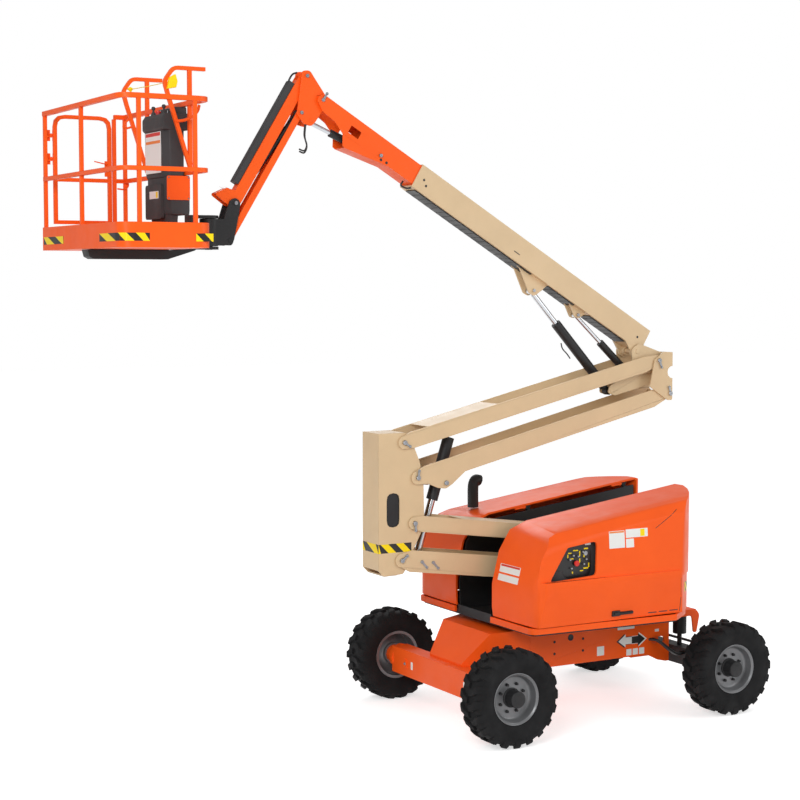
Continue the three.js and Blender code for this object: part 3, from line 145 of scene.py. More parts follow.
def finish_of(name, colour, rough, metallic=0.0, coat=0.0, shade=0.07, grain=(260, 0.12, 0.0004), shine=0.5):
    """A finish with a broad change of tone, a changing gloss and a fine grain, given as the grain's
    scale, strength and depth in metres."""
    material, tree, bsdf = new_material(name)
    low = [c * (1 - shade) for c in linear(colour)[:3]] + [1]
    high = [min(1, c * (1 + shade)) for c in linear(colour)[:3]] + [1]
    tree.links.new(ramp(tree, noise(tree, 2.2, 5, 0.6), low, high), bsdf.inputs["Base Color"])
    tree.links.new(spread(tree, noise(tree, 7, 4), rough * 0.85, rough * 1.2), bsdf.inputs["Roughness"])
    set_inputs(bsdf, Metallic=metallic, Coat_Weight=coat, Specular_IOR_Level=shine, Coat_Roughness=0.12)
    scale, strength, distance = grain
    bump(tree, bsdf, noise(tree, scale, 2), strength, distance)
    return material


materials = {
    "orange_paint": finish_of("orange_enamel", (255, 94, 22), 0.4, coat=0.03, shade=0.05, shine=0.22),
    "beige_paint": finish_of("beige_enamel", (216, 188, 148), 0.42, coat=0.08, shade=0.04, shine=0.35),
    "black_paint": finish_of("black_enamel", (33, 33, 34), 0.5, shade=0.18, shine=0.35),
    "tyre_rubber": finish_of("rubber", (27, 27, 28), 0.85, shade=0.2, grain=(180, 0.35, 0.0008), shine=0.25),
    "rim_grey": finish_of("silver_enamel", (118, 119, 121), 0.34, metallic=0.4, shade=0.1),
    "grey_plastic": finish_of("moulded_plastic", (60, 59, 60), 0.6, shade=0.1, grain=(420, 0.4, 0.0005),
                              shine=0.35),
    "chromed_rod": finish_of("hard_chrome", (196, 199, 203), 0.16, metallic=1.0, shade=0.05),
}
zinc = finish_of("zinc_plate", (150, 153, 158), 0.36, metallic=0.85, shade=0.15)
yellow = finish_of("yellow_film", (252, 218, 8), 0.4, shade=0.04, shine=0.3)
black_film = finish_of("black_film", (22, 22, 22), 0.4, shade=0.1)
white_film = finish_of("white_film", (236, 236, 232), 0.38, shade=0.03)
red_film = finish_of("red_film", (214, 40, 30), 0.38, shade=0.05)
orange_film = finish_of("orange_film", (240, 128, 36), 0.38, shade=0.05)
hose_rubber = finish_of("hose_rubber", (26, 26, 27), 0.48, shade=0.15, grain=(900, 0.3, 0.0003))


def weld_group():
    """Joins the frame's loose triangles at their shared corners."""
    group = bpy.data.node_groups.new("weld", "GeometryNodeTree")
    group.interface.new_socket("Geometry", in_out="INPUT", socket_type="NodeSocketGeometry")
    group.interface.new_socket("Geometry", in_out="OUTPUT", socket_type="NodeSocketGeometry")
    start = group.nodes.new("NodeGroupInput")
    end = group.nodes.new("NodeGroupOutput")
    drop = group.nodes.new("GeometryNodeRemoveAttribute")
    drop.inputs["Name"].default_value = "custom_normal"
    merge = group.nodes.new("GeometryNodeMergeByDistance")
    merge.inputs["Distance"].default_value = 0.00005
    smooth = group.nodes.new("GeometryNodeSetShadeSmooth")
    group.links.new(start.outputs[0], drop.inputs["Geometry"])
    group.links.new(drop.outputs["Geometry"], merge.inputs["Geometry"])
    group.links.new(merge.outputs["Geometry"], smooth.inputs["Geometry"])
    group.links.new(smooth.outputs["Geometry"], end.inputs[0])
    return group


weld = weld_group()
EDGE_ROUND = {"orange_paint": 2.2 * MM, "beige_paint": 2.2 * MM, "grey_plastic": 3 * MM}
for node in nodes.values():
    slot_name = node.material_slots[0].material.name.split(".")[0]
    node.material_slots[0].material = materials[slot_name]
    node.modifiers.new("weld", "NODES").node_group = weld
    rounding = node.modifiers.new("edges", "BEVEL")
    rounding.width = EDGE_ROUND.get(slot_name, 1.5 * MM)
    rounding.segments = 2
    rounding.limit_method = "ANGLE"
    rounding.angle_limit = math.radians(38)
    rounding.use_clamp_overlap = False
    weighted = node.modifiers.new("shading", "WEIGHTED_NORMAL")
    weighted.keep_sharp = False
    weighted.weight = 80


# -------- building pieces

def keep(name, body, mesh, finishes, round_edges=0.0, angle=35):
    """Makes a mesh an object of the scene, with its finishes, and lets it ride on a body."""
    piece = new_object(name, mesh)
    for finish in finishes:
        mesh.materials.append(finish)
    if round_edges:
        rounding = piece.modifiers.new("edges", "BEVEL")
        rounding.width = round_edges
        rounding.segments = 2
        rounding.limit_method = "ANGLE"
        rounding.angle_limit = math.radians(angle)
        piece.modifiers.new("shading", "WEIGHTED_NORMAL")
    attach(piece, body)
    return piece


def painted(name, body, mesh, slot, round_edges=0.0, angle=35):
    """A piece in the finish of one of the frame's material slots."""
    piece = keep(name, body, mesh, [materials[slot]], round_edges, angle)
    return piece


def close(solid, name, smooth_angle=35):
    """The finished mesh of a bmesh: faces out, smooth where it turns gently."""
    bmesh.ops.recalc_face_normals(solid, faces=solid.faces)
    mesh = bpy.data.meshes.new(name)
    solid.to_mesh(mesh)
    solid.free()
    mesh.shade_smooth()
    mesh.set_sharp_from_angle(angle=math.radians(smooth_angle))
    return mesh


def cross_axes(axis):
    """Two directions square to an axis and to each other."""
    helper = Z if abs(axis.z) < 0.9 else X
    side = axis.cross(helper).normalized()
    return side, axis.cross(side)


def round_axis(side, up, share):
    """The direction at a share of a full turn from side towards up."""
    angle = 2 * math.pi * share
    return side * math.cos(angle) + up * math.sin(angle)


def add_turned(solid, origin, axis, profile, sides=24, index=0):
    """A solid turned round an axis from (along, radius) points; it closes where the radius is 0."""
    axis = axis.normalized()
    side, up = cross_axes(axis)
    rings = []
    for along, radius in profile:
        centre = origin + axis * along
        if radius == 0:
            rings.append([solid.verts.new(centre)] * sides)
            continue
        rings.append([solid.verts.new(centre + round_axis(side, up, i / sides) * radius) for i in range(sides)])
    for first, second in zip(rings, rings[1:]):
        for i in range(sides):
            j = (i + 1) % sides
            corners = [first[i], first[j], second[j], second[i]]
            corners = [c for n, c in enumerate(corners) if c not in corners[:n]]
            solid.faces.new(corners).material_index = index


def skin(solid, loops, ring=False):
    """Faces between loops with the same number of corners, capped at both ends or closed into a ring."""
    for first, second in zip(loops, loops[1:] + (loops[:1] if ring else [])):
        for i in range(len(first)):
            j = (i + 1) % len(first)
            solid.faces.new([first[i], first[j], second[j], second[i]])
    if not ring:
        solid.faces.new(loops[0])
        solid.faces.new(loops[-1])


def millimetres(profile):
    """An (along, radius) profile given in millimetres, in metres."""
    return [(along * MM, radius * MM) for along, radius in profile]


def add_prism(solid, outline, offset, index=0):
    """A closed prism from an outline of points and the vector to its far end."""
    near = [solid.verts.new(p) for p in outline]
    far = [solid.verts.new(p + offset) for p in outline]
    faces = [solid.faces.new(near), solid.faces.new(far)]
    for i in range(len(near)):
        j = (i + 1) % len(near)
        faces.append(solid.faces.new([near[i], near[j], far[j], far[i]]))
    for face in faces:
        face.material_index = index


PATH_STEPS = 8


def smooth_path(points):
    """Points on one smooth curve through the given points."""
    ends = [2 * points[0] - points[1], *points, 2 * points[-1] - points[-2]]
    path = []
    for a, b, c, d in zip(ends, ends[1:], ends[2:], ends[3:]):
        for k in range(PATH_STEPS):
            t = k / PATH_STEPS
            path.append(0.5 * ((2 * b) + (c - a) * t + (2 * a - 5 * b + 4 * c - d) * t * t
                               + (3 * b - a - 3 * c + d) * t ** 3))
    return [*path, points[-1]]


def tube(name, body, points, radius, finish):
    """A round hose, cable or bar along points."""
    path = smooth_path(points)
    data = bpy.data.curves.new(name, "CURVE")
    data.dimensions = "3D"
    data.bevel_depth = radius
    data.bevel_resolution = 3
    data.use_fill_caps = True
    spline = data.splines.new("POLY")
    spline.points.add(len(path) - 1)
    for point, place in zip(spline.points, path):
        point.co = (*place, 1)
    data.materials.append(finish)
    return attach(new_object(name, data), body)


def add_bolt(solid, place, axis, size=9 * MM, washer=True):
    """A hexagon head with a chamfered top, on a washer."""
    if washer:
        add_turned(solid, place - axis * MM, axis,
                   [(0, 0), (0, size * 1.5), (2.5 * MM, size * 1.5), (3 * MM, size * 1.4), (3 * MM, 0)], 20)
    base = place + axis * 2 * MM
    add_turned(solid, base, axis,
               [(0, 0), (0, size), (size * 0.7, size), (size * 0.85, size * 0.84), (size * 0.85, 0)], 6)


RAY_START = 2
trees = {}


def on_surface(name, aim, direction):
    """Where a ray through a point meets a frame node from outside, and the surface's normal."""
    if name not in trees:
        mesh = nodes[name].data
        trees[name] = BVHTree.FromPolygons([v.co for v in mesh.vertices], [p.vertices for p in mesh.polygons])
    place, normal, _, _ = trees[name].ray_cast(aim - direction * RAY_START, direction)
    if place is None:
        return aim, -direction
    return place, normal if normal.dot(direction) < 0 else -normal


CORNER_STEPS = 4


def rounded_outline(width, height, corner):
    """A rectangle with rounded corners, centred on 0, as (right, up) pairs."""
    points = []
    for quarter, (sx, sy) in enumerate([(1, 1), (-1, 1), (-1, -1), (1, -1)]):
        for k in range(CORNER_STEPS + 1):
            a = math.pi / 2 * (quarter + k / CORNER_STEPS)
            points.append((sx * (width / 2 - corner) + corner * math.cos(a),
                           sy * (height / 2 - corner) + corner * math.sin(a)))
    return points


def plate(name, body, place, normal, width, height, layers, corner=4 * MM):
    """A thin sign or cover on a surface. layers are (finish, left, right, bottom, top, thickness),
    in shares of the plate, each lying on the one before."""
    normal = normal.normalized()
    across = Z.cross(normal).normalized()
    upward = normal.cross(across)
    solid = bmesh.new()
    for index, (_, left, right, bottom, top, thick) in enumerate(layers):
        centre = place + across * ((left + right) / 2 - 0.5) * width
        centre = centre + upward * ((bottom + top) / 2 - 0.5) * height
        outline = rounded_outline((right - left) * width, (top - bottom) * height,
                                  min(corner, (right - left) * width / 3, (top - bottom) * height / 3))
        sunk = normal * (-1.5 * MM if index == 0 else 0)
        points = [centre + across * a + upward * b + sunk for a, b in outline]
        add_prism(solid, points, normal * thick - sunk, index)
    piece = keep(name, body, close(solid, name), [layer[0] for layer in layers])
    return piece


def sign(name, body, node, aim, direction, width, height, marks=()):
    """A blank sign stuck to a frame node, with plain colour fields."""
    place, normal = on_surface(node, aim, direction)
    layers = [(white_film, 0, 1, 0, 1, MM)]
    layers += [(colour, *span, 1.5 * MM) for colour, span in marks]
    return plate(name, body, place, normal, width, height, layers)


def band(name, body, path, low, high, pitch=92 * MM, start=0.0, thick=MM, end_share=1.0):
    """A hazard band of leaning yellow and black stripes along plan points with outward normals.
    end_share widens the stripes on faces that look along X."""
    lengths = [0.0]
    for (a, facing), (b, _) in zip(path, path[1:]):
        share = end_share if abs(facing.x) > 0.9 else 1.0
        lengths.append(lengths[-1] + (b - a).length * share)
    total = lengths[-1]

    def point(s, z, out):
        s = min(max(s, 0), total)
        for i in range(len(path) - 1):
            if s <= lengths[i + 1] or i == len(path) - 2:
                t = (s - lengths[i]) / max(lengths[i + 1] - lengths[i], 1e-9)
                place = path[i][0].lerp(path[i + 1][0], t)
                normal = path[i][1].lerp(path[i + 1][1], t).normalized()
                return Vector((place.x, place.y, z)) + Vector((normal.x, normal.y, 0)) * out

    curved = any((a - b).length > 0.01 for (_, a), (_, b) in zip(path, path[1:]))
    levels = 10 if curved else 1

    def field(solid, from_low, to_low, from_high, to_high, inner, outer, index):
        steps = max(2, int(max(to_low - from_low, to_high - from_high) / (6 * MM if curved else 12 * MM)))
        sheets = []
        for out in (inner, outer):
            sheets.append([])
            for m in range(levels + 1):
                share = m / levels
                first = from_low + (from_high - from_low) * share
                last = to_low + (to_high - to_low) * share
                z = low + (high - low) * share
                sheets[-1].append([solid.verts.new(point(first + (last - first) * k / steps, z, out))
                                   for k in range(steps + 1)])
        for sheet in sheets:
            for m in range(levels):
                for k in range(steps):
                    solid.faces.new([sheet[m][k], sheet[m][k + 1], sheet[m + 1][k + 1],
                                     sheet[m + 1][k]]).material_index = index
        rim = [(0, k) for k in range(steps)] + [(m, steps) for m in range(levels)]
        rim += [(levels, k) for k in range(steps, 0, -1)] + [(m, 0) for m in range(levels, 0, -1)]
        for (m, k), (n, j) in zip(rim, rim[1:] + rim[:1]):
            solid.faces.new([sheets[0][m][k], sheets[0][n][j], sheets[1][n][j],
                             sheets[1][m][k]]).material_index = index

    solid = bmesh.new()
    field(solid, 0, total, 0, total, -0.6 * MM, thick * 0.6, 0)
    place = start - 3 * pitch
    while place < total + pitch:
        low_from = place + high - low
        clipped = [min(max(v, 0), total) for v in (low_from, low_from + pitch / 2, place, place + pitch / 2)]
        if clipped[1] - clipped[0] > MM or clipped[3] - clipped[2] > MM:
            if min(clipped[1] - clipped[0], clipped[3] - clipped[2]) < 0.5 * MM:
                clipped = [clipped[0], max(clipped[1], clipped[0] + 0.5 * MM),
                           clipped[2], max(clipped[3], clipped[2] + 0.5 * MM)]
                clipped = [min(v, total) for v in clipped]
            if clipped[1] > clipped[0] and clipped[3] > clipped[2]:
                field(solid, *clipped, 0, thick, 1)
        place += pitch
    return keep(name, body, close(solid, name), [black_film, yellow])


# -------- wheels

# millimetres: the outer half of the carcass as (across, radius), and a lug's sections as its place across
# the tread, the radius of its top and its two edges along the tread
TYRE_RADIUS_MM = 419
CARCASS = [(104, 206.5), (110, 214), (112, 228), (118, 234), (124, 250), (138, 280), (147, 310), (150.5, 340),
           (148, 362), (140, 378), (126, 388), (100, 392), (60, 394), (0, 395)]
TYRE_SIDES = 96
LUGS = 20
LUG_SECTIONS = [(152, 366, -34, 26), (149, 384, -34, 27), (139, 399, -33, 29), (113, 418.5, -27, 33),
                (96, 418.5, -20, 40), (74, 418.5, -2, 58), (58, 418.5, 12, 66), (40, 418.5, 18, 68),
                (6, 418.5, 30, 72)]


def tyre_tread(name, side):
    """A tyre with a bulged sidewall, a rim guard and two staggered rows of hooked lugs."""
    origin = pivot[f"wheel_{name}_spin"]
    axis = Y * side
    solid = bmesh.new()
    outer = millimetres(CARCASS)
    ring = [*outer, *((-along, radius) for along, radius in reversed(outer[:-1]))]
    loops = []
    across, up = cross_axes(axis)
    for along, radius in ring:
        centre = origin + axis * along
        loops.append([solid.verts.new(centre + round_axis(across, up, i / TYRE_SIDES) * radius)
                      for i in range(TYRE_SIDES)])
    skin(solid, loops, ring=True)
    for row, flank in enumerate((1, -1)):
        for k in range(LUGS):
            middle = 2 * math.pi * (k + row / 2) / LUGS
            rows = []
            for y, top, left, right in LUG_SECTIONS:
                corners = ((left - 6, top - 26), (left, top), (right, top), (right + 6, top - 26))
                rows.append([])
                for u, radius in corners:
                    a = middle + u / TYRE_RADIUS_MM
                    out = across * math.cos(a) + up * math.sin(a)
                    rows[-1].append(solid.verts.new(origin + axis * y * MM * flank + out * radius * MM))
            skin(solid, rows)
    tread = painted(f"tread_{name}", f"wheel_{name}", close(solid, name, 32), "tyre_rubber", 2.2 * MM, 45)
    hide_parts(f"tyre_{name}")


RIM_PROFILE = [(-50, 0), (-50, 96), (-20, 100), (20, 176), (20, 196), (-112, 196), (-113, 214), (-115.5, 222),
               (-106, 221), (-103, 206.5), (103, 206.5), (106, 221), (113, 222), (115.5, 219), (114, 213),
               (106, 208), (102, 201), (84, 197), (56, 192), (40, 184), (33, 172), (31, 160), (31, 0)]
HUB_PROFILE = [(28, 0), (28, 84), (40, 84), (44, 76), (52, 73), (128, 72), (140, 70), (147, 63), (149.5, 52),
               (149.5, 0)]
NUT_PROFILE = [(0, 0), (0, 15), (5, 15), (7, 12), (24, 12), (27, 9), (27, 0)]
WHEEL_NUTS, NUT_CIRCLE = 8, 122 * MM
CAP_SCREWS, CAP_CIRCLE = 4, 38 * MM


def wheel_rim(name, side):
    """A rim of one turned dish, with a hub, wheel nuts and the screws of the hub's cap."""
    origin = pivot[f"wheel_{name}_spin"]
    axis = Y * side
    solid = bmesh.new()
    add_turned(solid, origin, axis, millimetres(RIM_PROFILE), 72)
    rim = painted(f"dish_{name}", f"wheel_{name}", close(solid, name, 40), "rim_grey", 1.2 * MM, 45)
    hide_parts(f"rim_{name}")
    solid = bmesh.new()
    add_turned(solid, origin, axis, millimetres(HUB_PROFILE), 48)
    across, up = cross_axes(axis)
    for k in range(WHEEL_NUTS):
        place = origin + axis * 30 * MM + round_axis(across, up, (k + 0.5) / WHEEL_NUTS) * NUT_CIRCLE
        add_turned(solid, place, axis, millimetres(NUT_PROFILE), 6)
    for k in range(CAP_SCREWS):
        place = origin + axis * 149 * MM + round_axis(across, up, k / CAP_SCREWS) * CAP_CIRCLE
        add_turned(solid, place, axis, millimetres([(-2, 0), (-2, 6), (0.5, 6), (0.5, 0)]), 6)
    painted(f"hub_{name}", f"wheel_{name}", close(solid, name), "black_paint", MM)


for wheel in ("drive_right", "drive_left", "steer_right", "steer_left"):
    outward = SIDES[wheel.split("_")[1]]
    tyre_tread(wheel, outward)
    wheel_rim(wheel, outward)


# -------- pins and their keepers

KEEPER_THICK = 6 * MM


def pin_end(name, body, place, side, radius, keeper=None):
    """The round head of a pin on the outside of the node named like its body. keeper is the reach of
    its keeper bar along X and Z in millimetres."""
    direction = Y * -side
    surface, _ = on_surface(body, place, direction)
    outward = Y * side
    face = Vector((place.x, surface.y, place.z))
    solid = bmesh.new()
    add_turned(solid, face, outward,
               [(-2 * MM, 0), (-2 * MM, radius), (8 * MM, radius), (11 * MM, radius * 0.86),
                (11 * MM, radius * 0.3), (8 * MM, radius * 0.22), (8 * MM, 0)], 28)
    if keeper:
        reach = Vector((keeper[0] * MM, 0, keeper[1] * MM))
        across = reach.cross(outward).normalized() * 9 * MM
        far, _ = on_surface(body, place + reach, direction)
        base = Vector((place.x + reach.x, far.y, place.z + reach.z))
        start, end = face + reach.normalized() * radius * 0.6, face + reach * 1.12
        outline = [start + across, start - across, end - across, end + across]
        lift = max(0, (base.y - face.y) * side)
        add_prism(solid, [p + outward * lift for p in outline], outward * KEEPER_THICK)
        add_bolt(solid, face + reach + outward * (lift + KEEPER_THICK), outward)
    keep(name, body, close(solid, name, 25), [zinc])


# at rest: the lower top link from its pin on the riser, and the knuckle from its foot pin to its top pin
LOWER_TOP_LINK = Vector((2.37892, 0, -0.31742))
KNUCKLE = Vector((-0.133, 0, 0.312))
# a pin's name, the body it rides on, its place, and its keeper's reach
TOWER_PINS = [
    ("riser_top_pin", "riser", pivot["upper_top_link_pivot"], (48, -34)),
    ("riser_upper_pin", "riser", pivot["upper_bottom_link_pivot"], (6, 62)),
    ("riser_lower_pin", "riser", pivot["lower_top_link_pivot"] - LOWER_TOP_LINK, (4, -62)),
    ("riser_foot_pin", "riser", pivot["riser_pivot"], (46, 40)),
    ("knuckle_top_pin", "upper_upright", pivot["upright_pivot"] + KNUCKLE, (22, -62)),
    ("knuckle_foot_pin", "upper_upright", pivot["upright_pivot"], (-18, 60)),
    ("tower_cylinder_pin", "upper_bottom_link", pivot["tower_cylinder_pivot"], None),
    ("tip_pin", "tip_bracket", pivot["jib_lift"], None),
    ("tip_link_pin", "tip_bracket", pivot["jib_link_pivot"], None),
    ("jib_foot_pin", "jib_foot", pivot["jib_foot_pivot"], None),
    ("slave_base_pin", "fly_boom", pivot["slave_cylinder_pivot"], None),
    ("fly_tip_pin", "fly_boom", pivot["tip_level"], (34, 52)),
]
for pin_name, pin_body, pin_place, pin_keeper in TOWER_PINS:
    size = 21 * MM if pin_body in ("riser", "upper_upright", "upper_bottom_link") else 16 * MM
    for side_name, side in SIDES.items():
        pin_end(f"{pin_name}_{side_name}", pin_body, pin_place, side, size, pin_keeper)

# two cross pins at the front of the lower link, and the lug pins of the main boom's cylinders
lower_angle = math.atan2(pivot["riser_pivot"].z - pivot["tower_lift"].z,
                         pivot["tower_lift"].x - pivot["riser_pivot"].x)
lower_along = Vector((math.cos(lower_angle), 0, -math.sin(lower_angle)))
for number, along in enumerate((200, 315)):
    for side_name, side in SIDES.items():
        pin_end(f"cross_pin_{number}_{side_name}", "lower_bottom_link",
                pivot["riser_pivot"] + lower_along * along * MM, side, 15 * MM, (48, -52))

# the booms' direction at rest, 30.84 degrees above level, and the direction square to it
boom_along = Vector((-0.858602, 0, 0.512642))
boom_up = Vector((0.512642, 0, 0.858602))


def on_boom(along, above, y=0.0):
    """A point on the boom, in millimetres along its axis and above it."""
    return pivot["boom_lift"] + boom_along * along * MM + boom_up * above * MM + Y * y * MM


for lug_name, along, above in (("lift_lug_pin", 1251, -86), ("level_lug_pin", 715, -28)):
    for side_name, side in SIDES.items():
        pin_end(f"{lug_name}_{side_name}", "main_boom", on_boom(along, above), side, 15 * MM)

# -------- hazard bands

RISER_BAND = (1568 * MM, 1646 * MM)
riser_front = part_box("riser")[0].x
riser_half = 143 * MM


def plan(x, y, nx, ny):
    return Vector((x, y)), Vector((nx, ny))


band("riser_band_front", "riser", [plan(riser_front, riser_half, -1, 0), plan(riser_front, -riser_half, -1, 0)],
     *RISER_BAND, pitch=180 * MM, end_share=0.55, start=40 * MM)
for side_name, side in SIDES.items():
    band(f"riser_band_{side_name}", "riser",
         [plan(riser_front, riser_half * side, 0, side),
          plan(riser_front + 325 * MM, riser_half * side, 0, side)],
         *RISER_BAND, pitch=150 * MM, start=20 * MM)
    # painted shade: a black sheet behind the slot, standing in for the shade inside the riser
    slot_centre = pivot["riser_pivot"] + Vector((-77 * MM, (riser_half - 12.5 * MM) * side, 439 * MM))
    solid = bmesh.new()
    add_prism(solid, [slot_centre + X * a + Z * b for a, b in rounded_outline(150 * MM, 320 * MM, 60 * MM)],
              Y * -3 * MM * side)
    painted(f"riser_liner_{side_name}", "riser", close(solid, "riser_liner"), "black_paint")

# the toe board's bands
toe_low, toe_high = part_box("platform_floor")
TOE_BAND = (toe_low.z + 48 * MM, toe_low.z + 108 * MM)
toe_far, toe_near, toe_half = toe_low.x, toe_high.x, toe_high.y
CORNER = 110 * MM
TOE_STRIPES = {"pitch": 140 * MM, "thick": 1.8 * MM, "end_share": 0.37}


def toe_corner():
    """Plan points round the right-hand far corner of the toe board, from its end face to its side."""
    centre = Vector((toe_far + CORNER, -toe_half + CORNER, sum(TOE_BAND) / 2))
    points = [plan(toe_far, -455 * MM, -1, 0)]
    for k in range(25):
        a = math.pi + math.pi / 2 * k / 24
        out = Vector((math.cos(a), math.sin(a), 0))
        edge, _ = on_surface("platform_floor", centre + out * CORNER, -out)
        points.append((edge.xy, out.xy))
    points.append(plan(toe_far + 229 * MM, -toe_half, 0, -1))
    return points


band("toe_band_far", "platform", [plan(toe_far, 880 * MM, -1, 0), plan(toe_far, 385 * MM, -1, 0)], *TOE_BAND,
     start=-30 * MM, **TOE_STRIPES)
band("toe_band_corner", "platform", toe_corner(), *TOE_BAND, **TOE_STRIPES)
band("toe_band_near", "platform",
     [plan(toe_near - 140 * MM, -toe_half, 0, -1), plan(toe_near, -toe_half, 0, -1)], *TOE_BAND,
     start=-70 * MM, **TOE_STRIPES)

# the counterweight's bands
for side_name, side in SIDES.items():
    arc = []
    for k in range(13):
        a = math.radians(-49 + 17 * k / 12) * -side
        out = Vector((math.cos(a), math.sin(a), 0))
        edge, _ = on_surface("counterweight", at(0, 0, 1160) + out * 1.2, -out)
        arc.append((edge.xy, out.xy))
    band(f"tail_band_{side_name}", "turntable", arc, 1120 * MM, 1205 * MM)

# -------- turntable and hoods

for hood_side, body in (("right", "right_hood"), ("left", "left_hood")):
    side = SIDES[hood_side]
    inward = Y * -side
    if hood_side == "right":
        sign("hood_front_sign_upper", body, body, at(-860, -540, 1402), X, 315 * MM, 74 * MM,
             [(red_film, (0.03, 0.97, 0.72, 0.95))])
        sign("hood_front_sign_lower", body, body, at(-875, -540, 1322), X, 315 * MM, 58 * MM)
        sign("hood_side_sign_large", body, body, at(-36, -975, 1662), inward, 165 * MM, 150 * MM,
             [(orange_film, (0.03, 0.97, 0.88, 0.97))])
        sign("hood_side_sign_wide", body, body, at(178, -975, 1706), inward, 236 * MM, 74 * MM,
             [(yellow, (0.66, 0.86, 0.08, 0.92))])
        sign("hood_side_sign_small", body, body, at(102, -980, 1622), inward, 84 * MM, 76 * MM)
    latch_place, latch_normal = on_surface(body, at(12, 990 * side, 1019), inward)
    solid = bmesh.new()
    up = latch_normal.cross(X).normalized()
    up = up if up.z > 0 else -up
    base = [latch_place + X * a * MM + up * b * MM - latch_normal * 2 * MM
            for a, b in ((-110, 24), (-30, 24), (-30, 10), (110, 10), (116, 0), (110, -16), (-20, -16),
                         (-30, -24), (-110, -24))]
    add_prism(solid, base, latch_normal * 16 * MM)
    grip = [latch_place + X * a * MM + up * b * MM + latch_normal * 12 * MM
            for a, b in ((-92, 12), (-48, 12), (-40, 4), (96, 4), (96, -8), (-92, -8))]
    add_prism(solid, grip, latch_normal * 12 * MM)
    painted(f"hood_latch_{hood_side}", body, close(solid, "hood_latch"), "black_paint", 2 * MM)


def groove(name, body, places, direction, width=5 * MM, steps=10):
    """A thin dark line laid along the node named like its body, as a closed strip."""
    rows = []
    solid = bmesh.new()
    path = []
    for a, b in zip(places, places[1:]):
        path += [a.lerp(b, k / steps) for k in range(steps)]
    path.append(places[-1])
    for i, aim in enumerate(path):
        place, normal = on_surface(body, aim, direction)
        ahead = path[min(i + 1, len(path) - 1)] - path[max(i - 1, 0)]
        across = ahead.cross(normal).normalized() * width / 2
        sunk, raised = place - normal * MM, place + normal * 0.7 * MM
        rows.append([solid.verts.new(p)
                     for p in (sunk - across, raised - across, raised + across, sunk + across)])
    skin(solid, rows)
    keep(name, body, close(solid, name), [black_film])


for side_name, side in SIDES.items():
    body = f"{side_name}_hood"
    inward = Y * -side
    groove(f"hood_tail_seam_{side_name}", body,
           [at(652, 1000 * side, 1272), at(650, 985 * side, 975)], inward)
    groove(f"hood_shoulder_seam_{side_name}", body,
           [at(640, 970 * side, 1880), at(385, 975 * side, 1732)], inward)
    for k in range(3):
        groove(f"hood_vent_{side_name}_{k}", body,
               [at(300 + 118 * k, 985 * side, 990), at(392 + 118 * k, 985 * side, 988)], inward, 9 * MM, 4)

# ground controls behind the right hood's window
panel_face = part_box("ground_control_panel")[0].y


def on_panel(x, z, out=0.0):
    """A point on the control panel's face, or out of it by some millimetres."""
    return Vector((slew_x + x * MM, panel_face - out * MM, z * MM))


def knob(solid, x, z, radius, height, index):
    """A push button or switch on the panel, wider at its head. Sizes in millimetres."""
    profile = [(0, 0), (0, radius * 0.7), (height * 0.55, radius * 0.6), (height * 0.6, radius),
               (height * 0.9, radius), (height, radius * 0.8), (height, 0)]
    add_turned(solid, on_panel(x, z, -2), -Y, millimetres(profile), 24, index)


def panel_field(solid, x, z, width, height, index, out):
    """A flat rounded field on the panel, standing out by some millimetres."""
    corner = min(width, height) * 0.25
    outline = [on_panel(x + a, z + b, -1) for a, b in rounded_outline(width, height, corner)]
    add_prism(solid, outline, -Y * out * MM, index)


solid = bmesh.new()
panel_field(solid, -425, 1495, 300, 290, 0, 3)
for x, z, width, height in (
        (-500, 1570, 34, 10), (-520, 1545, 10, 30), (-440, 1590, 52, 10), (-395, 1560, 10, 48),
        (-330, 1600, 44, 12), (-350, 1545, 12, 40), (-395, 1500, 12, 36), (-330, 1430, 52, 12),
        (-300, 1455, 12, 40), (-470, 1400, 12, 20), (-480, 1520, 40, 8), (-375, 1410, 34, 10)):
    panel_field(solid, x, z, width, height, 1, 4.2)
panel_field(solid, -310, 1640, 60, 22, 2, 4.2)
knob(solid, -437, 1480, 25, 30, 3)
for x, z in ((-505, 1515), (-470, 1550), (-420, 1540), (-370, 1575), (-335, 1510), (-360, 1470), (-490, 1440)):
    knob(solid, x, z, 9, 26, 4)
knob(solid, -338, 1560, 20, 12, 0)
add_turned(solid, on_panel(-338, 1560), -Y,
           millimetres([(0, 0), (0, 20), (12, 20), (12.5, 17), (12.5, 0)]), 28, 4)
panel_field(solid, -600, 1470, 78, 92, 0, 8)
keep("ground_controls", "turntable", close(solid, "ground_controls", 30),
     [black_film, yellow, white_film, red_film, zinc], 0.8 * MM)

# -------- chassis

# two arrows on the right side of the frame, white to the front and black to the rear, each with an edge
ARROW = [(0, 32), (-70, 32), (-70, 58), (-150, 0), (-70, -58), (-70, -32), (0, -32)]
centre = at(492, -500, 638)
solid = bmesh.new()
for scale, thick, front_finish, rear_finish in ((1.14, 1.2, 1, 0), (1.0, 2.0, 0, 1)):
    points = [centre + X * a * scale * MM + Z * b * scale * MM + Y * MM for a, b in ARROW]
    add_prism(solid, points, -Y * (thick + 1) * MM, front_finish)
    points = [centre - X * a * scale * MM + Z * b * scale * MM + Y * MM for a, b in reversed(ARROW)]
    add_prism(solid, points, -Y * (thick + 1) * MM, rear_finish)
keep("direction_arrows", "chassis", close(solid, "direction_arrows"), [white_film, black_film])
for number, (x, z, width, height) in enumerate(((428, 765, 190, 42), (778, 702, 46, 24), (144, 574, 78, 84),
                                                (462, 530, 58, 58), (534, 530, 58, 58), (606, 530, 58, 58))):
    sign(f"frame_sign_{number}", "chassis", "chassis_frame", at(x, -500, z), Y, width * MM, height * MM)
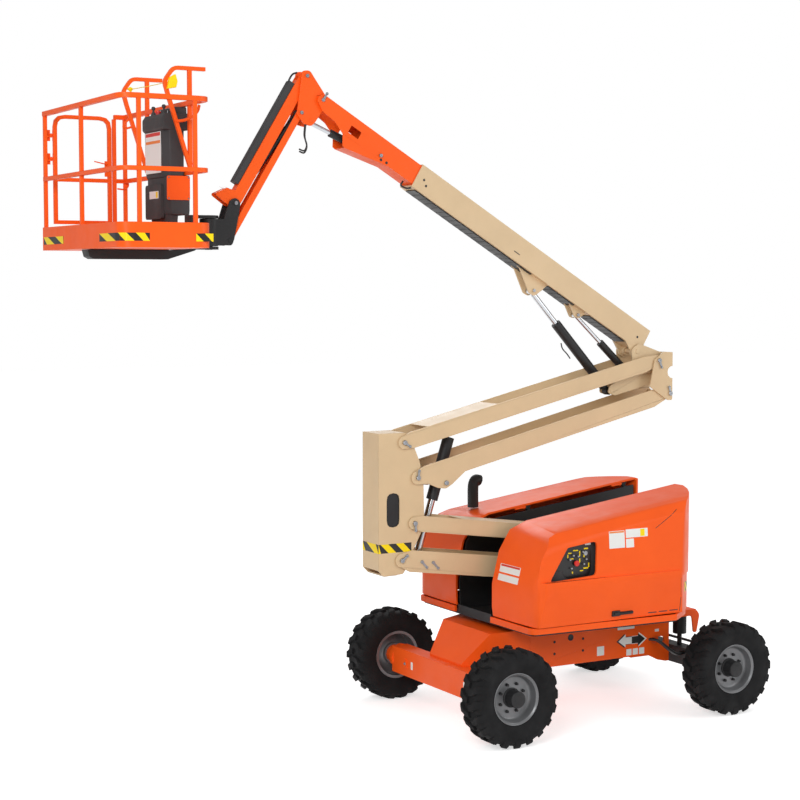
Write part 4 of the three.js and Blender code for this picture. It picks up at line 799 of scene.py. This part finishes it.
for side_name, side in SIDES.items():
    outward = Y * side
    solid = bmesh.new()
    for x, z in ((-358, 707), (-50, 707), (-358, 600), (-50, 600)):
        add_bolt(solid, at(x, 500 * side, z), outward, 8 * MM)
    painted(f"frame_bolts_{side_name}", "chassis", close(solid, "frame_bolts", 20), "black_paint")
    solid = bmesh.new()
    add_turned(solid, at(-184, 500 * side, 730), outward,
               millimetres([(-1, 0), (-1, 30), (2, 30), (3, 27), (1.5, 24), (1.5, 0)]), 28)
    painted(f"frame_plug_{side_name}", "chassis", close(solid, "frame_plug"), "black_paint")

# tie-down eyes on the drive axle
axle_low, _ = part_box("drive_axle")
for side_name, side in SIDES.items():
    face = Vector((axle_low.x, 576 * MM * side, 405 * MM))
    place, _ = on_surface("drive_axle", face, X)
    solid = bmesh.new()
    add_turned(solid, place, -X,
               millimetres([(-1, 0), (-1, 46), (7, 46), (9, 43), (9, 20), (4, 15), (4, 0)]), 32)
    painted(f"tie_down_{side_name}", "chassis", close(solid, "tie_down", 30), "orange_paint")
    sign(f"tie_down_sign_{side_name}", "chassis", "drive_axle", face - Y * 120 * MM * side, X, 34 * MM, 70 * MM)
    solid = bmesh.new()
    add_bolt(solid, place - X * 4 * MM, -X, 10 * MM)
    keep(f"tie_down_bolt_{side_name}", "chassis", close(solid, "tie_down_bolt", 20), [zinc])

for number, y in enumerate((-420, -450)):
    tube(f"steer_hose_{number}", "chassis",
         [at(690, y - 40, 626), at(745, y - 92, 620), at(800, y - 112, 586), at(880, y - 120, 522),
          at(985, y - 92, 466), at(1110, y - 30, 452)], 13 * MM, hose_rubber)

# -------- booms

for side_name, side in SIDES.items():
    outward = Y * side
    solid = bmesh.new()
    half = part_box("main_boom")[1].y
    for along, above in ((2742, 132), (2700, 98), (60, 118)):
        add_turned(solid, on_boom(along, above) + outward * half, outward,
                   millimetres([(-1, 0), (-1, 11), (1.2, 11), (1.6, 9), (1.6, 0)]), 20)
    corners = [(1570, 96), (1640, 96), (1640, 88), (1570, 88)]
    add_prism(solid, [on_boom(a, b) + outward * (half - MM) for a, b in corners], outward * 2 * MM)
    keep(f"boom_marks_{side_name}", "main_boom", close(solid, "boom_marks"), [black_film])
    solid = bmesh.new()
    for along, above in ((3182, 55), (3124, 62)):
        place, _ = on_surface("fly_boom", on_boom(along, above), -outward)
        add_turned(solid, place, outward, millimetres([(-1, 0), (-1, 12), (1.5, 12), (2, 10), (2, 0)]), 20)
    keep(f"fly_marks_{side_name}", "fly_boom", close(solid, "fly_marks"), [black_film])

RIB_PITCH = 70


def under_boom(start, end, above, half):
    """A rectangle square to the boom's sides, from start to end along it, in millimetres."""
    return [on_boom(along, above, y) for along, y in ((start, -half), (end, -half), (end, half), (start, half))]


# a black ribbed tray under the main boom, in lengths between the lugs: painted shade, a dark piece that stands
# in for the shade on the boom's underside
solid = bmesh.new()
for start, end in ((1360, 2760), (815, 1150), (150, 620)):
    add_prism(solid, under_boom(start, end, 23, 82), -boom_up * 9 * MM)
    for k in range(int((end - start) / RIB_PITCH)):
        rib = start + (k + 0.5) * RIB_PITCH
        add_prism(solid, under_boom(rib, rib + 40, 14, 78), -boom_up * 2 * MM)
keep("hose_track", "main_boom", close(solid, "hose_track"), [hose_rubber], MM)

# a hose's name, the body it rides on, its radius and its path in millimetres
HOSES = [
    ("jib_head_hose", "jib_arm", 8,
     [(-2744, -20, 5455), (-2727, -24, 5540), (-2690, -26, 5606), (-2645, -24, 5626)]),
    ("bracket_hose_outer", "tip_bracket", 7,
     [(-2586, -50, 5200), (-2593, -52, 5108), (-2572, -54, 5033), (-2594, -52, 4985), (-2640, -50, 4996)]),
    ("bracket_hose_inner", "tip_bracket", 7,
     [(-2588, -68, 5200), (-2597, -70, 5100), (-2580, -72, 5018), (-2604, -70, 4966), (-2648, -68, 4976)]),
    ("mouth_hose", "main_boom", 8,
     [(-1650, -50, 4760), (-1672, -54, 4722), (-1620, -56, 4700), (-1570, -54, 4706), (-1530, -50, 4716)]),
    ("lift_hose", "lift_cylinder_barrel", 6,
     [(10, -40, 3340), (18, -52, 3290), (66, -56, 3240), (108, -44, 3198)]),
]
for hose_name, hose_body, hose_radius, hose_points in HOSES:
    tube(hose_name, hose_body, [at(*p) for p in hose_points], hose_radius * MM, hose_rubber)

# -------- platform

# the console's housing: a deep pedestal with a bevelled corner, under a wider control head
console_right, console_left = (corner.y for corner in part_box("platform_console"))
floor_z = toe_low.z


def plan_outline(far, near, inset, bevel):
    """The housing's plan outline between two places along X, with its far right corner bevelled."""
    far, near = at(far, 0, 0).x, at(near, 0, 0).x
    right, left = console_right + inset * MM, console_left - inset * MM
    corner = [(far + bevel * 0.7 * MM, right), (far, right + bevel * MM)] if bevel else [(far, right)]
    return [(far, left), (near, left), (near, right), *corner]


def loft(solid, rings):
    """A closed solid through plan outlines with the same number of corners, each at its height in mm."""
    skin(solid, [[solid.verts.new((x, y, floor_z + height * MM)) for x, y in corners]
                 for corners, height in rings])


# each part's sections: far and near ends along X, inset of the sides, bevel, and height over floor_z
HOUSING = [
    ("console_foot", [(-3952, -3880, 70, 40, 18), (-3968, -3880, 52, 40, 215), (-3982, -3880, 36, 40, 300)]),
    ("console_body", [(-3978, -3795, 22, 60, 262), (-3986, -3793, 18, 60, 300), (-3986, -3793, 18, 60, 566)]),
    ("console_neck", [(-3994, -3842, 24, 60, 552), (-3998, -3842, 12, 60, 590), (-4004, -3842, 8, 60, 924)]),
    ("console_head", [(-4010, -3804, 8, 0, 914), (-4020, -3795, 0, 0, 932), (-4020, -3795, 0, 0, 1010),
                      (-3998, -3795, 6, 0, 1044)]),
    ("console_display", [(-3944, -3800, 46, 0, 1036), (-3928, -3800, 50, 0, 1084),
                         (-3896, -3800, 58, 0, 1098)]),
]
for part, sections in HOUSING:
    solid = bmesh.new()
    loft(solid, [(plan_outline(*section), height) for *section, height in sections])
    painted(part, "platform", close(solid, part), "grey_plastic", 7 * MM, 25)
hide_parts("platform_console")
front_mid = (console_right + console_left) / 2 + 28 * MM


def front(x, height, dy=0.0):
    """A point on the housing's far face, in millimetres, from the middle of its flat part."""
    return Vector((at(x, 0, 0).x, front_mid + dy * MM, floor_z + height * MM))


plate("console_sign", "platform", front(-4003, 748), -X, 320 * MM, 318 * MM,
      [(white_film, 0, 1, 0, 1, 3 * MM), (red_film, 0.03, 0.97, 0.9, 0.985, 3.6 * MM),
       (orange_film, 0.03, 0.97, 0.72, 0.79, 3.6 * MM)])
plate("console_cover", "platform", front(-3984, 366), -X, 330 * MM, 268 * MM,
      [(materials["grey_plastic"], 0, 1, 0, 1, 24 * MM)], corner=24 * MM)
plate("console_cover_sign", "platform", front(-4008, 420, -20), -X, 190 * MM, 58 * MM,
      [(white_film, 0, 1, 0, 1, MM), (yellow, 0.7, 0.92, 0.1, 0.9, 1.5 * MM)])
side_plate = Vector((at(-3889, 0, 0).x, console_right + 18 * MM, floor_z + 470 * MM))
plate("console_side_plate", "platform", side_plate, -Y, 190 * MM, 186 * MM,
      [(materials["orange_paint"], 0, 1, 0, 1, 6 * MM)], corner=12 * MM)
solid = bmesh.new()
for a in (-1, 1):
    for b in (-1, 1):
        add_bolt(solid, side_plate - Y * 6 * MM + X * a * 82 * MM + Z * b * 80 * MM, -Y, 4 * MM)
keep("console_side_bolts", "platform", close(solid, "console_side_bolts", 20), [zinc])

# two joysticks, a row of switches and the stop button on the control head
TRAY_X, TRAY_HEIGHT = -3972, 1044
JOYSTICK = [(-2, 0), (-2, 22), (6, 21), (24, 12), (30, 9), (42, 8), (46, 15), (62, 16), (70, 10), (71, 0)]
SWITCH = [(-2, 0), (-2, 9), (4, 9), (5, 4), (22, 5), (24, 3), (24, 0)]
STOP_BUTTON = [(-2, 0), (-2, 18), (10, 16), (12, 24), (24, 24), (29, 16), (30, 0)]


def on_tray(x, across):
    """A point on the control head's top: x in millimetres, and a share of its width from the right."""
    return Vector((at(x, 0, 0).x, console_right + (console_left - console_right) * across,
                   floor_z + TRAY_HEIGHT * MM))


solid = bmesh.new()
for across in (0.22, 0.72):
    add_turned(solid, on_tray(TRAY_X, across), Z, millimetres(JOYSTICK))
painted("joysticks", "platform", close(solid, "joysticks"), "grey_plastic")
solid = bmesh.new()
for k in range(7):
    add_turned(solid, on_tray(TRAY_X + 20, 0.16 + 0.11 * k), Z, millimetres(SWITCH), 12)
keep("console_switches", "platform", close(solid, "console_switches"), [zinc])
solid = bmesh.new()
add_turned(solid, on_tray(TRAY_X - 2, 0.48), Z, millimetres(STOP_BUTTON), 28)
keep("console_stop_button", "platform", close(solid, "console_stop_button"), [red_film])

# the yellow sensor box and cable between the two overhead hoops
SENSOR = [(-4012, 5371), (-3940, 5385), (-3929, 5432), (-3945, 5487), (-3995, 5458), (-4003, 5407)]
CLAMP = [(-3996, 5456), (-3962, 5431), (-3945, 5459), (-3967, 5474)]
for part, outline, y, thick in (("sensor_box", SENSOR, -576, 36), ("sensor_clamp", CLAMP, 326, 28)):
    solid = bmesh.new()
    add_prism(solid, [at(x, y, z) for x, z in outline], Y * thick * MM)
    keep(part, "platform", close(solid, part), [yellow], 5 * MM)
tube("sensor_cable", "platform", [at(-4000, -560, 5425), at(-3982, -110, 5436), at(-3970, 340, 5452)],
     3 * MM, yellow)

# the gate's hinge plates, latch plate and handle
gate_low, gate_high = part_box("gate")
hinge_x = pivot["gate_hinge"].x
for number, height in enumerate((toe_low.z + 755 * MM, toe_low.z + 947 * MM)):
    for leaf, body, reach in (("post", "platform", (-44, -3)), ("leaf", "gate", (16, 50))):
        solid = bmesh.new()
        x0, x1 = (hinge_x + x * MM for x in reach)
        y = gate_high.y - MM
        outline = [Vector((x, y, height + z * MM)) for x, z in ((x0, -46), (x1, -46), (x1, 46), (x0, 46))]
        add_prism(solid, outline, Y * 4 * MM)
        for z in (-30, 30):
            add_bolt(solid, Vector(((x0 + x1) / 2, y + 2 * MM, height + z * MM)), Y, 4.5 * MM, False)
        painted(f"gate_hinge_{leaf}_{number}", body, close(solid, "gate_hinge", 20), "orange_paint")
latch_z = gate_low.z + 470 * MM
solid = bmesh.new()
x0 = gate_high.x
outline = [Vector((x0 - 6 * MM, gate_low.y, latch_z)) + Vector((a * MM, 0, b * MM))
           for a, b in ((-60, -70), (0, -70), (0, 60), (-60, 60))]
add_prism(solid, outline, -Y * 8 * MM)
painted("gate_latch_plate", "gate", close(solid, "gate_latch_plate"), "orange_paint", 2 * MM)
tube("gate_handle", "gate", [Vector((x0 - 40 * MM, gate_low.y - 4 * MM, latch_z + 30 * MM)),
                             Vector((x0 - 90 * MM, gate_low.y - 40 * MM, latch_z + 36 * MM)),
                             Vector((x0 - 170 * MM, gate_low.y - 46 * MM, latch_z + 52 * MM))],
     5 * MM, materials["orange_paint"])

# guard loop, hook and lanyard rings on the rails: name, radius and path in millimetres
RAIL_LOOPS = [
    ("console_guard", 12, [(-3925, -540, 5132), (-3882, -585, 5138), (-3842, -640, 5160), (-3818, -690, 5200),
                           (-3812, -712, 5244)]),
    ("hoop_hook", 9, [(-3952, 366, 5226), (-3995, 350, 5199), (-4028, 346, 5152), (-4000, 350, 5140),
                      (-3930, 366, 5160)]),
    ("lanyard_ring_left", 7, [(-3889, 868, 4744), (-3834, 868, 4749), (-3797, 868, 4728), (-3797, 868, 4699),
                              (-3829, 868, 4675), (-3889, 868, 4678)]),
    ("lanyard_ring_right", 6, [(-3812, -520, 4790), (-3800, -542, 4813), (-3788, -542, 4810),
                               (-3782, -538, 4785), (-3800, -534, 4730)]),
]
for loop_name, loop_radius, loop_points in RAIL_LOOPS:
    tube(loop_name, "platform", [at(*p) for p in loop_points], loop_radius * MM, materials["orange_paint"])

# the exhaust pipe, bent over at its top
EXHAUST_PATH = [(-530, 600, 1800), (-531, 600, 1900), (-530, 600, 1985), (-519, 600, 2032), (-494, 600, 2054),
                (-458, 600, 2046)]
exhaust = tube("exhaust_tube", "left_hood", [at(*p) for p in EXHAUST_PATH], 52 * MM, materials["black_paint"])
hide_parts("exhaust_pipe")


# -------- floor and light

WHITE = (1, 1, 1, 1)
FLOOR_HALF = 60
FLOOR_GLOW = 0.6


def floor():
    """A matt floor that the camera and mirror-like surfaces see lit as white as the backdrop."""
    mesh = bpy.data.meshes.new("floor")
    corners = [(x * FLOOR_HALF, y * FLOOR_HALF, 0) for x, y in ((-1, -1), (1, -1), (1, 1), (-1, 1))]
    mesh.from_pydata(corners, [], [(0, 1, 2, 3)])
    new_object("floor", mesh)
    material, tree, bsdf = new_material("studio_floor")
    set_inputs(bsdf, Base_Color=(0.85, 0.85, 0.85, 1), Roughness=0.9, Specular_IOR_Level=0)
    mesh.materials.append(material)
    output = tree.nodes["Material Output"]
    path = tree.nodes.new("ShaderNodeLightPath")
    seen = tree.nodes.new("ShaderNodeMath")
    seen.operation = "MAXIMUM"
    tree.links.new(path.outputs["Is Camera Ray"], seen.inputs[0])
    tree.links.new(path.outputs["Is Glossy Ray"], seen.inputs[1])
    white = set_inputs(tree.nodes.new("ShaderNodeEmission"), Color=WHITE, Strength=FLOOR_GLOW)
    black = set_inputs(tree.nodes.new("ShaderNodeEmission"), Strength=0)
    glow = tree.nodes.new("ShaderNodeMixShader")
    tree.links.new(seen.outputs[0], glow.inputs["Fac"])
    tree.links.new(black.outputs[0], glow.inputs[1])
    tree.links.new(white.outputs[0], glow.inputs[2])
    both = tree.nodes.new("ShaderNodeAddShader")
    tree.links.new(bsdf.outputs[0], both.inputs[0])
    tree.links.new(glow.outputs[0], both.inputs[1])
    tree.links.new(both.outputs[0], output.inputs["Surface"])


def world():
    """A white backdrop for the camera, and half as much light from all round."""
    studio = bpy.data.worlds.new("studio")
    bpy.context.scene.world = studio
    studio.use_nodes = True
    tree = studio.node_tree
    light = set_inputs(tree.nodes["Background"], Color=WHITE, Strength=0.5)
    backdrop = set_inputs(tree.nodes.new("ShaderNodeBackground"), Color=WHITE, Strength=1)
    path = tree.nodes.new("ShaderNodeLightPath")
    mix = tree.nodes.new("ShaderNodeMixShader")
    tree.links.new(path.outputs["Is Camera Ray"], mix.inputs["Fac"])
    tree.links.new(light.outputs[0], mix.inputs[1])
    tree.links.new(backdrop.outputs[0], mix.inputs[2])
    tree.links.new(mix.outputs[0], tree.nodes["World Output"].inputs["Surface"])


MIDDLE = Vector((0.3, 0, 2.2))


def lamp(name, place, size, power):
    """A square lamp aimed at the machine's middle."""
    data = bpy.data.lights.new(name, "AREA")
    data.shape = "SQUARE"
    data.size = size
    data.energy = power
    light = new_object(name, data)
    light.location = place
    light.rotation_euler = (MIDDLE - Vector(place)).to_track_quat("-Z", "Y").to_euler()


floor()
world()
lamp("key", (-8, -8.5, 7.5), 5, 690)
lamp("fill", (8, -8, 6), 6, 260)
lamp("back", (4, 9, 8), 6, 300)
bpy.context.scene.view_settings.view_transform = "Standard"
